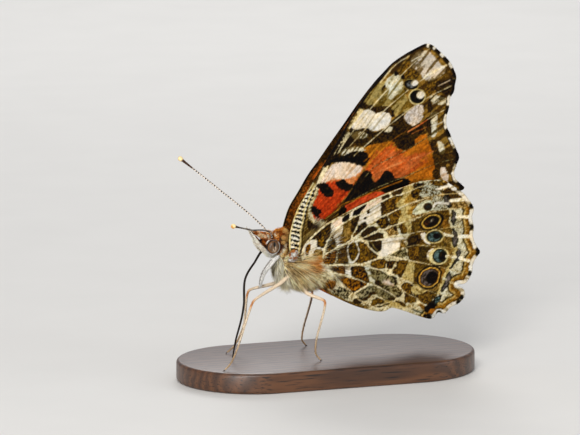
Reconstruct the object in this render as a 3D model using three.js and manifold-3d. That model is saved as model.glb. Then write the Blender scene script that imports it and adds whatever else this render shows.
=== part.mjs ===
// Painted lady butterfly (Vanessa cardui), life size, wings closed, on a flat display base.
// Millimetres, +Z up. The head points along -X, the left side of the body along -Y.
// The origin is the centre of the base's underside.

import * as THREE from "three";
import { mergeVertices } from "three/addons/utils/BufferGeometryUtils.js";
import Module from "manifold-3d";

const wasm = await Module();
wasm.setup();

// Driving dimensions
const GAP = 0.3;
const BASE = { length: 36, width: 18, height: 2.4, edge: 0.4 };
const FOOT_LEVEL = BASE.height + GAP;

const THORAX = { centre: [-3.0, 0, 13.0], radii: [3.4, 2.3, 2.75], pitch: 14 };
const COLLAR = { centre: [-5.6, 0, 15.7], radii: [1.0, 1.25, 1.9], pitch: 0 };
const HEAD = { centre: [-6.95, 0, 15.8], radii: [1.05, 1.2, 1.6], pitch: 0 };
const EYE = { centre: [-7.08, 1.27, 15.73], radii: [0.78, 0.55, 0.83], pitch: 0 };

const ABDOMEN_AXIS = [[-1.6, 0, 12.7], [1.6, 0, 11.8], [5.4, 0, 10.2], [9.3, 0, 8.1]];
const ABDOMEN_RADIUS = 1.45;
const ABDOMEN_RINGS = 8;
const RING_WAIST = 0.94;
const TAIL_TAPER = 0.94;

const WING_THICKNESS = 0.5;
const RIDGE = { outside: 0.14, inside: 0.08, halfWidth: 0.32, step: 1.65 };

// The wing faces' corners: edge length, free room round each kind of corner, and a loose hexagonal filling
const LONGEST_EDGE = 1.4;
const ROOM = { crest: 0.55, foot: 0.25, filling: 1.15 };
const FILLING = { pitch: 2.1, rows: [-6, 14], columns: [-2, 12] };
const FAR_SWEEP = 0.5;

// Wing outlines and veins, in millimetres from the hinge: [to the tail, up].
const FOREWING = {
  hinge: [-4.23, 14.58],
  spread: [[0, 1.8], [3, 1.4], [8, 1.35], [20, 0.5]],
  outline: [
    [0.5, -0.3], [1.2, 1.0], [2.6, 1.9], [5, 2.4], [8, 3.1], [11, 3.8], [14, 4.5], [17.5, 5.4],
    [21.1, 6.3],
    [21.0, 6.9], [20.2, 7.6], [20.0, 8.4], [20.3, 9.3], [20.6, 10.2], [20.3, 11.1], [19.8, 12.1],
    [19.5, 13.0], [19.0, 14.0], [19.0, 15.0], [19.3, 16.2], [19.4, 17.2], [19.9, 18.0],
    [20.0, 18.9], [20.2, 19.7], [19.9, 20.6], [19.4, 21.5], [18.6, 22.4], [17.7, 23.2],
    [17.2, 23.6],
    [16.4, 23.8], [14.4, 22.9], [12.5, 21.8], [11.2, 20.6], [10.0, 19.4], [8.2, 17.2],
    [6.3, 14.5], [4.7, 12.2], [3.6, 10.6], [2.4, 9.0], [1.1, 6.9], [0.1, 5.3], [-0.5, 3.7],
    [-0.9, 2.0], [-0.9, 0.6], [-0.5, -0.3],
  ],
  veins: [
    [[-0.1, 0.2], [0.4, 2.4], [1.5, 6.2], [3.9, 10.2], [6.6, 14.2], [9.6, 18.5]],
    [[0.1, 0.2], [1.4, 4.4], [3.2, 8.4], [5.4, 12.0], [8.6, 16.4], [11.6, 19.9], [14.4, 22.9]],
    [[5.4, 12.0], [9.5, 16.6], [13.4, 20.4], [17.2, 23.6]],
    [[6.1, 11.8], [10.5, 15.7], [15.0, 19.1], [19.4, 21.5]],
    [[7.2, 11.2], [11.8, 14.5], [16.0, 17.2], [20.0, 18.9]],
    [[8.5, 10.5], [12.5, 12.9], [16.0, 14.9], [19.3, 16.2]],
    [[0.2, 0.1], [3.4, 3.3], [6.3, 5.9], [8.6, 8.7], [10.2, 10.0], [13.8, 11.4], [19.0, 14.0]],
    [[8.9, 8.9], [11.8, 9.5], [15.6, 10.6], [19.8, 12.1]],
    [[6.3, 5.9], [10.1, 7.3], [14.1, 8.5], [17.8, 9.6], [20.6, 10.2]],
    [[3.4, 3.3], [8.0, 4.5], [14.0, 6.2], [20.2, 7.6]],
    [[5.4, 12.0], [7.2, 11.2], [8.5, 10.5], [10.2, 10.0]],
  ],
};

const HINDWING = {
  hinge: [-3.18, 14.01],
  spread: [[0, 2.0], [3, 2.5], [6, 2.5], [19, 1.6]],
  outline: [
    [-0.6, 0.0], [-0.1, -0.9], [0.5, -1.8], [1.2, -2.7], [2.1, -3.6], [3.4, -4.5], [5.9, -5.7],
    [8.4, -6.5], [9.7, -6.6], [10.6, -6.3], [12.2, -6.8], [13.9, -7.5],
    [15.4, -8.0], [16.0, -7.9], [16.6, -7.3], [17.4, -7.5], [18.2, -6.8], [19.2, -6.4],
    [19.9, -5.6], [19.8, -4.8], [19.0, -4.2], [20.1, -4.0], [20.8, -2.8], [20.9, -1.9],
    [21.3, -1.1], [21.8, -0.4], [21.3, 0.4], [20.9, 1.5], [21.0, 2.6], [20.8, 3.7],
    [21.0, 4.8], [20.2, 6.1], [19.3, 7.0], [18.1, 7.8],
    [17.0, 8.4], [14.1, 8.4], [11.6, 7.8], [9.1, 7.1], [7.2, 6.4], [5.3, 5.7], [3.5, 4.9],
    [2.1, 4.2], [1.0, 3.4], [0.3, 2.8], [-0.3, 2.1], [-0.7, 1.1],
  ],
  veins: [
    [[0.0, 0.1], [1.9, 1.3], [2.6, 2.8], [4.5, 4.2], [8.1, 5.8], [12.0, 7.1], [17.0, 8.4]],
    [[0.0, 0.1], [1.8, 0.8], [5.4, 2.4], [9.0, 4.5], [12.9, 5.9], [17.2, 6.8], [19.3, 7.0]],
    [[6.1, 2.2], [8.6, 3.0], [11.6, 3.9], [15.4, 4.6], [21.0, 4.8]],
    [[6.7, 1.9], [9.0, 2.1], [14.1, 2.6], [21.0, 2.6]],
    [[5.6, 2.4], [7.1, 1.6], [9.0, 0.1]],
    [[9.0, 0.1], [12.6, 0.9], [17.0, 0.4], [21.8, -0.4]],
    [[0.0, -0.1], [4.0, -0.6], [8.0, -0.3], [10.3, 0.0], [14.7, -1.4], [20.8, -2.8]],
    [[6.7, -0.6], [9.0, -1.7], [13.5, -3.9], [16.0, -4.9], [19.9, -5.6]],
    [[0.0, -0.2], [3.4, -1.6], [7.8, -3.2], [11.2, -3.9], [13.9, -5.9], [15.4, -8.0]],
    [[1.6, -1.0], [3.8, -2.5], [6.6, -5.0], [9.7, -6.6]],
  ],
};

// Paths of the thin pieces, from the body outwards, with a thickness along each.
const ANTENNAE = {
  left: [[-6.9, -0.7, 16.2], [-7.3, -1.3, 17.3], [-11.6, -7.0, 18.9], [-16.0, -12.6, 20.6]],
  right: [[-6.6, 0.6, 16.3], [-7.2, 1.3, 17.5], [-10.8, 6.3, 21.3], [-14.3, 11.3, 24.7]],
};
const ANTENNA_RADII = [0.3, 0.27, 0.25, 0.25, 0.25, 0.25, 0.27, 0.36, 0.33];
const PALP = [
  [-7.2, 0.68, 14.95], [-7.85, 0.68, 15.36], [-8.44, 0.66, 16.02], [-9.01, 0.6, 16.88],
  [-9.36, 0.56, 17.38], [-9.72, 0.52, 17.82],
];
const PALP_RADII = [0.5, 0.52, 0.45, 0.32, 0.25, 0.16];
const PROBOSCIS = [
  [-7.7, 0, 15.3], [-8.2, -0.05, 14.85], [-8.9, -0.1, 13.8], [-9.6, -0.15, 12.9], [-10.1, -0.25, 12.0],
  [-10.3, -0.4, 11.1], [-10.35, -0.5, 9.2], [-10.7, -0.5, 7.2], [-11.3, -0.4, 5.0], [-11.7, -0.3, 2.95],
];
const PROBOSCIS_RADII = [0.27, 0.26, 0.25, 0.25, 0.25, 0.25, 0.2];

// The small folded front legs: the right one is held further back and lower than the left.
const FORELEG = [
  [-6.1, 0.75, 14.5], [-6.9, 1.1, 14.15], [-7.6, 1.15, 13.4], [-8.15, 1.15, 12.65], [-8.46, 1.15, 11.85],
  [-8.6, 1.1, 11.1],
];
const FORELEG_RIGHT_SHIFT = [0.84, 0, -0.43];
const FORELEG_RADII = [0.28, 0.36, 0.34, 0.3, 0.24, 0.15];
const LEG_RADII = [0.42, 0.42, 0.38, 0.3, 0.3, 0.27, 0.25, 0.25, 0.25, 0.2];
const LEGS = {
  midleg_left: [
    [-4.6, -0.9, 12.4], [-6.4, -1.7, 11.4], [-10.0, -3.2, 10.0], [-10.4, -3.4, 9.6],
    [-12.1, -4.6, 6.2], [-13.6, -5.3, 3.4], [-14.6, -5.8, 2.75],
  ],
  midleg_right: [
    [-4.4, 0.8, 12.2], [-5.8, 1.4, 10.9], [-8.5, 2.5, 10.1], [-8.8, 2.7, 9.6],
    [-9.0, 3.2, 6.1], [-10.1, 3.5, 3.5], [-11.0, 3.7, 2.75],
  ],
  hindleg_left: [
    [-2.9, -0.9, 11.4], [-3.0, -1.3, 10.1], [-1.5, -2.6, 9.4], [-1.2, -2.8, 9.1],
    [-2.3, -3.4, 5.6], [-2.7, -3.8, 3.4], [-2.2, -4.1, 2.75],
  ],
  hindleg_right: [
    [-2.9, 0.9, 11.4], [-2.8, 1.4, 10.1], [-1.0, 2.9, 9.5], [-0.6, 3.1, 9.2],
    [-1.2, 3.8, 5.7], [-1.4, 4.4, 3.4], [-0.8, 4.7, 2.75],
  ],
};

// Colour, roughness and metalness of each finish
const FINISH = {
  membrane: [0xa07a50, 0.75, 0],
  fur: [0x9c8468, 0.95, 0],
  crown: [0x9a5a2c, 0.95, 0],
  eye: [0x6b5548, 0.3, 0],
  limb: [0xcdb59a, 0.7, 0],
  feeler: [0x3a3028, 0.6, 0],
  base: [0x3c2a1e, 0.5, 0],
};

// A geometry with shared corners and no empty triangles
function welded(geometry) {
  const bare = geometry.clone();
  bare.deleteAttribute("normal");
  bare.deleteAttribute("uv");
  const merged = mergeVertices(bare, 1e-5);
  const corners = merged.index.array;
  const kept = [];
  for (let i = 0; i < corners.length; i += 3) {
    const [a, b, c] = [corners[i], corners[i + 1], corners[i + 2]];
    if (a !== b && b !== c && c !== a) kept.push(a, b, c);
  }
  merged.setIndex(kept);
  return merged;
}

// A closed geometry as a solid that can be joined and cut
function solid(geometry) {
  const merged = welded(geometry);
  const build = (triVerts) => new wasm.Manifold(new wasm.Mesh({
    numProp: 3,
    vertProperties: new Float32Array(merged.attributes.position.array),
    triVerts: new Uint32Array(triVerts),
  }));
  const body = build(merged.index.array);
  return body.volume() > 0 ? body : build(Array.from(merged.index.array).reverse());
}

// The largest closed body of a solid, as a geometry
function geometryOf(body) {
  const largest = body.decompose().reduce((a, b) => (b.volume() > a.volume() ? b : a));
  const mesh = largest.getMesh();
  const geometry = new THREE.BufferGeometry();
  geometry.setAttribute("position", new THREE.BufferAttribute(mesh.vertProperties, 3));
  geometry.setIndex(new THREE.BufferAttribute(mesh.triVerts, 1));
  return geometry;
}

function mirrored(geometry) {
  return geometryOf(solid(geometry.clone().scale(1, -1, 1)));
}

// An ellipsoid pitched head up, grown by a margin on every side
function ellipsoid({ centre, radii, pitch }, margin = 0, sides = 24, rings = 14) {
  return new THREE.SphereGeometry(1, sides, rings)
    .scale(...radii.map((radius) => radius + margin))
    .rotateY(THREE.MathUtils.degToRad(pitch))
    .translate(...centre);
}

// A round limb along a smooth path, with its radius spread evenly over its length
function limb(path, radii, { sides = 8, steps = 18, margin = 0 } = {}) {
  const spots = path.map((point) => new THREE.Vector3(...point));
  const curve = new THREE.CatmullRomCurve3(spots, false, "centripetal");
  const frames = curve.computeFrenetFrames(steps);
  const profile = [new THREE.Vector2(0, 0)];
  for (let step = 0; step <= steps; step += 1) {
    const place = (step / steps) * (radii.length - 1);
    const from = Math.min(Math.floor(place), radii.length - 2);
    const radius = THREE.MathUtils.lerp(radii[from], radii[from + 1], place - from);
    profile.push(new THREE.Vector2(radius + margin, step));
  }
  profile.push(new THREE.Vector2(0, steps));
  const geometry = new THREE.LatheGeometry(profile, sides);
  const position = geometry.attributes.position;
  for (let i = 0; i < position.count; i += 1) {
    const step = Math.round(position.getY(i));
    const point = curve.getPointAt(step / steps)
      .addScaledVector(frames.normals[step], position.getX(i))
      .addScaledVector(frames.binormals[step], position.getZ(i));
    position.setXYZ(i, point.x, point.y, point.z);
  }
  return geometry;
}

// How far a wing's middle stands from the body's middle plane, by distance from its hinge
function spreadAt(spread, distance) {
  const last = spread[spread.length - 1];
  if (distance >= last[0]) return last[1];
  const next = spread.findIndex(([reach]) => reach > distance);
  const [from, to] = [spread[next - 1], spread[next]];
  return THREE.MathUtils.lerp(from[1], to[1], THREE.MathUtils.smoothstep(distance, from[0], to[0]));
}

const distance = (a, b) => Math.hypot(a[0] - b[0], a[1] - b[1]);

// True where a point lies in the circle that has the edge as its diameter
function crowds(point, [a, b]) {
  return (a[0] - point[0]) * (b[0] - point[0]) + (a[1] - point[1]) * (b[1] - point[1]) < 1e-6;
}

function inside([x, y], outline) {
  let within = false;
  outline.forEach((a, i) => {
    const b = outline[(i + 1) % outline.length];
    const crosses = (a[1] > y) !== (b[1] > y);
    if (crosses && x < ((b[0] - a[0]) * (y - a[1])) / (b[1] - a[1]) + a[0]) within = !within;
  });
  return within;
}

// An outline with its long edges divided evenly
function divided(outline, longest) {
  return outline.flatMap((a, i) => {
    const b = outline[(i + 1) % outline.length];
    const parts = Math.ceil(distance(a, b) / longest);
    return Array.from({ length: parts }, (_, k) => [
      THREE.MathUtils.lerp(a[0], b[0], k / parts),
      THREE.MathUtils.lerp(a[1], b[1], k / parts),
    ]);
  });
}

// The points of a wing: its outline, a crest and two feet along each vein, and a loose filling
function wingPoints({ outline, veins }) {
  const edge = divided(outline, LONGEST_EDGE);
  const edges = edge.map((a, i) => [a, edge[(i + 1) % edge.length]]);
  const points = edge.map(([x, z]) => ({ at: [x, z], crest: 0 }));
  const add = (at, crest, room) => {
    const free = inside(at, edge)
      && points.every((other) => distance(other.at, at) > room)
      && !edges.some((line) => crowds(at, line));
    if (free) points.push({ at, crest });
    return free;
  };
  const feet = [];
  veins.forEach((vein) => {
    const curve = new THREE.SplineCurve(vein.map(([x, z]) => new THREE.Vector2(x, z)));
    const steps = Math.max(2, Math.round(curve.getLength() / RIDGE.step));
    let previous = null;
    for (let step = 0; step <= steps; step += 1) {
      const { x, y } = curve.getPointAt(step / steps);
      const along = curve.getTangentAt(step / steps);
      const added = add([x, y], 1, ROOM.crest);
      if (added && previous) edges.push([previous, [x, y]]);
      previous = added ? [x, y] : null;
      if (!added) continue;
      for (const side of [-RIDGE.halfWidth, RIDGE.halfWidth]) {
        feet.push([x - side * along.y, y + side * along.x]);
      }
    }
  });
  feet.forEach((foot) => add(foot, 0, ROOM.foot));
  const rise = FILLING.pitch * Math.sin(Math.PI / 3);
  for (let row = FILLING.rows[0]; row < FILLING.rows[1]; row += 1) {
    for (let column = FILLING.columns[0]; column < FILLING.columns[1]; column += 1) {
      add([(column + (row % 2) / 2) * FILLING.pitch, row * rise], 0, ROOM.filling);
    }
  }
  return { points, edge };
}

// Triangles over a set of points by circumscribed circles, kept inside the outline
function triangles(points, outline) {
  const far = 500;
  const all = [...points, [-far, -far], [far, -far], [0, far]];
  const circled = (corners) => {
    const [a, b, c] = corners.map((corner) => all[corner]);
    const d = 2 * (a[0] * (b[1] - c[1]) + b[0] * (c[1] - a[1]) + c[0] * (a[1] - b[1]));
    const [aa, bb, cc] = [a, b, c].map(([x, y]) => x * x + y * y);
    const centre = [
      (aa * (b[1] - c[1]) + bb * (c[1] - a[1]) + cc * (a[1] - b[1])) / d,
      (aa * (c[0] - b[0]) + bb * (a[0] - c[0]) + cc * (b[0] - a[0])) / d,
    ];
    return { corners, centre, radius: distance(centre, a) };
  };
  let found = [circled([points.length, points.length + 1, points.length + 2])];
  points.forEach((point, index) => {
    const rim = new Map();
    found = found.filter(({ corners, centre, radius }) => {
      if (distance(point, centre) > radius * (1 - 1e-9)) return true;
      corners.forEach((a, i) => {
        const b = corners[(i + 1) % 3];
        if (!rim.delete(`${b} ${a}`)) rim.set(`${a} ${b}`, [a, b]);
      });
      return false;
    });
    rim.forEach(([a, b]) => found.push(circled([a, b, index])));
  });
  return found.map(({ corners }) => corners).filter((corners) => {
    if (corners.some((corner) => corner >= points.length)) return false;
    const middle = [0, 1].map((axis) => corners.reduce((sum, corner) => sum + all[corner][axis] / 3, 0));
    return inside(middle, outline);
  });
}

// A left wing: two faces with the same triangles, raised along the veins, and a wall round them
function wing(shape, sweep = 0) {
  const { points, edge } = wingPoints(shape);
  const faces = triangles(points.map(({ at }) => at), edge);
  const turn = THREE.MathUtils.degToRad(sweep);
  const positions = [];
  for (const outer of [1, -1]) {
    const height = outer > 0 ? RIDGE.outside : RIDGE.inside;
    points.forEach(({ at: [x, z], crest }) => {
      const middle = spreadAt(shape.spread, Math.hypot(x, z));
      positions.push(
        shape.hinge[0] + x * Math.cos(turn) + z * Math.sin(turn),
        -(middle + outer * (WING_THICKNESS / 2 + height * crest)),
        shape.hinge[1] + z * Math.cos(turn) - x * Math.sin(turn),
      );
    });
  }
  const behind = points.length;
  const directed = new Set();
  faces.forEach(([a, b, c]) => [[a, b], [b, c], [c, a]].forEach(([p, q]) => directed.add(`${p} ${q}`)));
  const index = faces.flatMap(([a, b, c]) => [a, b, c, behind + a, behind + c, behind + b]);
  directed.forEach((name) => {
    const [a, b] = name.split(" ").map(Number);
    if (directed.has(`${b} ${a}`)) return;
    index.push(b, a, behind + a, b, behind + a, behind + b);
  });
  const geometry = new THREE.BufferGeometry();
  geometry.setAttribute("position", new THREE.Float32BufferAttribute(positions, 3));
  geometry.setIndex(index);
  return geometry;
}

// A flat oblong plate with half-round ends and a narrow bevel
function plate({ length, width, height, edge }) {
  const radius = width / 2 - edge;
  const straight = length / 2 - edge - radius;
  const outline = new THREE.Shape()
    .moveTo(-straight, -radius)
    .lineTo(straight, -radius)
    .absarc(straight, 0, radius, -Math.PI / 2, Math.PI / 2, false)
    .lineTo(-straight, radius)
    .absarc(-straight, 0, radius, Math.PI / 2, (3 * Math.PI) / 2, false);
  return new THREE.ExtrudeGeometry(outline, {
    depth: height - 2 * edge,
    bevelThickness: edge,
    bevelSize: edge,
    bevelSegments: 1,
    curveSegments: 14,
  }).translate(0, 0, edge);
}

const swollenThorax = solid(ellipsoid(THORAX, GAP)).add(solid(ellipsoid(COLLAR, GAP)));
const swollenHead = solid(ellipsoid(HEAD, GAP));
const eyeOn = (side) => ({ ...EYE, centre: [EYE.centre[0], side * EYE.centre[1], EYE.centre[2]] });
const aside = (path, side) => path.map(([x, y, z]) => [x, side * y, z]);

function foreLegPath(side) {
  const path = aside(FORELEG, side);
  if (side < 0) return path;
  return path.map((point) => point.map((value, axis) => value + FORELEG_RIGHT_SHIFT[axis]));
}

// The tail part: a tapered body with shallow rings
function abdomen() {
  const steps = ABDOMEN_RINGS * 3;
  const radii = Array.from({ length: steps + 1 }, (_, step) => {
    const along = step / steps;
    const waist = THREE.MathUtils.smoothstep(along, 0, 0.3);
    const tail = Math.sqrt(1 - THREE.MathUtils.smoothstep(along, 0.35, 1.0) * TAIL_TAPER);
    const ring = step % 3 === 0 ? RING_WAIST : 1;
    return ABDOMEN_RADIUS * (0.8 + 0.2 * waist) * tail * ring;
  });
  return limb(ABDOMEN_AXIS, radii, { sides: 16, steps });
}

// What lies below the level of the feet is cut off flat.
function standing(body) {
  const below = new THREE.BoxGeometry(100, 100, 2 * FOOT_LEVEL);
  return body.subtract(solid(below));
}

const part = new THREE.Group();

function place(name, geometry, [color, roughness, metalness]) {
  const mesh = new THREE.Mesh(geometry, new THREE.MeshStandardMaterial({ color, roughness, metalness }));
  mesh.name = name;
  part.add(mesh);
}

place("stand_base", welded(plate(BASE)), FINISH.base);

const thorax = solid(ellipsoid(THORAX)).add(solid(ellipsoid(COLLAR))).subtract(swollenHead);
place("thorax", geometryOf(thorax), FINISH.fur);
place("abdomen", geometryOf(solid(abdomen()).subtract(swollenThorax)), FINISH.fur);

const SIDES = { left: -1, right: 1 };
const sockets = { left: null, right: null };
let head = solid(ellipsoid(HEAD));
for (const [name, side] of Object.entries(SIDES)) {
  sockets[name] = solid(ellipsoid(eyeOn(side), GAP, 16, 10));
  head = head.subtract(sockets[name]);
}
place("head", geometryOf(head), FINISH.crown);

for (const [name, side] of Object.entries(SIDES)) {
  place(`eye_${name}`, welded(ellipsoid(eyeOn(side), 0, 16, 10)), FINISH.eye);
  const palp = solid(limb(aside(PALP, side), PALP_RADII, { steps: 12 })).subtract(swollenHead);
  place(`palp_${name}`, geometryOf(palp.subtract(sockets[name])), FINISH.crown);
  const feeler = limb(ANTENNAE[name], ANTENNA_RADII, { sides: 6, steps: 24 });
  place(`antenna_${name}`, geometryOf(solid(feeler).subtract(swollenHead)), FINISH.feeler);
  const foreleg = limb(foreLegPath(side), FORELEG_RADII, { steps: 12 });
  place(`foreleg_${name}`, geometryOf(solid(foreleg).subtract(swollenThorax)), FINISH.limb);
}

const tongue = limb(PROBOSCIS, PROBOSCIS_RADII, { sides: 8, steps: 20 });
place("proboscis", geometryOf(standing(solid(tongue).subtract(swollenHead))), FINISH.feeler);

for (const [name, path] of Object.entries(LEGS)) {
  const leg = solid(limb(path, LEG_RADII, { steps: 26 }));
  place(name, geometryOf(standing(leg.subtract(swollenThorax))), FINISH.limb);
}

for (const [name, shape] of [["forewing", FOREWING], ["hindwing", HINDWING]]) {
  const left = solid(wing(shape)).subtract(swollenThorax);
  const right = solid(mirrored(wing(shape, FAR_SWEEP))).subtract(swollenThorax);
  place(`${name}_left`, geometryOf(left), FINISH.membrane);
  place(`${name}_right`, geometryOf(right), FINISH.membrane);
}

export default part;
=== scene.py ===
"""A life-size painted lady butterfly on its display base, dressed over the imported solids."""
import math

import bpy
import numpy as np
from bpy.props import FloatProperty, FloatVectorProperty, IntProperty, PointerProperty
from mathutils import Matrix, Vector


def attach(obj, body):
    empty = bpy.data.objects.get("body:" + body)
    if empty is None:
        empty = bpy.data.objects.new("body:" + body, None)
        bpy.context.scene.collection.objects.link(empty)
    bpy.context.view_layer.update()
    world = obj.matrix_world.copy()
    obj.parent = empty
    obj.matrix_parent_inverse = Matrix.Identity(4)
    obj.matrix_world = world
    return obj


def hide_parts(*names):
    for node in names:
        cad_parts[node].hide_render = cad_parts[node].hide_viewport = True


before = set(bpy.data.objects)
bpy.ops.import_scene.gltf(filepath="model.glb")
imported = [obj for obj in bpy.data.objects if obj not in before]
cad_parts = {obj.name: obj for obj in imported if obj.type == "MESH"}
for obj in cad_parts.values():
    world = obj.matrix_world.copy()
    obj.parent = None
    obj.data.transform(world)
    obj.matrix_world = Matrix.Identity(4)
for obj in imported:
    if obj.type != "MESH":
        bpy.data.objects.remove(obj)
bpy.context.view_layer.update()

bl_info = {
    "name": "Painted Lady Butterfly",
    "version": (1, 0, 0),
    "blender": (4, 5, 0),
    "location": "View3D > Sidebar > Butterfly",
    "description": "Builds a life-size painted lady with closed wings on a display base",
    "category": "Add Mesh",
}

# Every length below is in millimetres and becomes metres when a piece is finished.
MM = 0.001
BLACK = (0, 0, 0)

# The tuft shapes: how many cuts along one and how many sides; TUFTS keeps them once they are made
TUFT_CUTS_AND_SIDES = {"hair": (3, 3), "scale": (1, 4)}
TUFTS = {}
TUFT_PATCH = 0.0012

# Wing outlines and veins, from the hinge: [to the tail, up]
FOREWING = {
    "hinge": (-4.23, 14.58),
    "spread": [(0, 1.8), (3, 1.4), (8, 1.35), (20, 0.5)],
    "outline": [
        (0.5, -0.3), (1.2, 1), (2.6, 1.9), (5, 2.4), (8, 3.1), (11, 3.8), (14, 4.5), (17.5, 5.4),
        (21.1, 6.3), (21, 6.9), (20.2, 7.6), (20, 8.4), (20.3, 9.3), (20.6, 10.2), (20.3, 11.1),
        (19.8, 12.1), (19.5, 13), (19, 14), (19, 15), (19.3, 16.2), (19.4, 17.2), (19.9, 18), (20, 18.9),
        (20.2, 19.7), (19.9, 20.6), (19.4, 21.5), (18.6, 22.4), (17.7, 23.2), (17.2, 23.6), (16.4, 23.8),
        (14.4, 22.9), (12.5, 21.8), (11.2, 20.6), (10, 19.4), (8.2, 17.2), (6.3, 14.5), (4.7, 12.2),
        (3.6, 10.6), (2.4, 9), (1.1, 6.9), (0.1, 5.3), (-0.5, 3.7), (-0.9, 2), (-0.9, 0.6), (-0.5, -0.3),
    ],
    "veins": [
        [(-0.1, 0.2), (0.4, 2.4), (1.5, 6.2), (3.9, 10.2), (6.6, 14.2), (9.6, 18.5)],
        [(0.1, 0.2), (1.4, 4.4), (3.2, 8.4), (5.4, 12), (8.6, 16.4), (11.6, 19.9), (14.4, 22.9)],
        [(5.4, 12), (9.5, 16.6), (13.4, 20.4), (17.2, 23.6)],
        [(6.1, 11.8), (10.5, 15.7), (15, 19.1), (19.4, 21.5)],
        [(7.2, 11.2), (11.8, 14.5), (16, 17.2), (20, 18.9)],
        [(8.5, 10.5), (12.5, 12.9), (16, 14.9), (19.3, 16.2)],
        [(0.2, 0.1), (3.4, 3.3), (6.3, 5.9), (8.6, 8.7), (10.2, 10), (13.8, 11.4), (19, 14)],
        [(8.9, 8.9), (11.8, 9.5), (15.6, 10.6), (19.8, 12.1)],
        [(6.3, 5.9), (10.1, 7.3), (14.1, 8.5), (17.8, 9.6), (20.6, 10.2)],
        [(3.4, 3.3), (8, 4.5), (14, 6.2), (20.2, 7.6)],
        [(5.4, 12), (7.2, 11.2), (8.5, 10.5), (10.2, 10)],
    ],
    "border": (8, 30),
    "hair_fan": (-10, 60),
}
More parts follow.
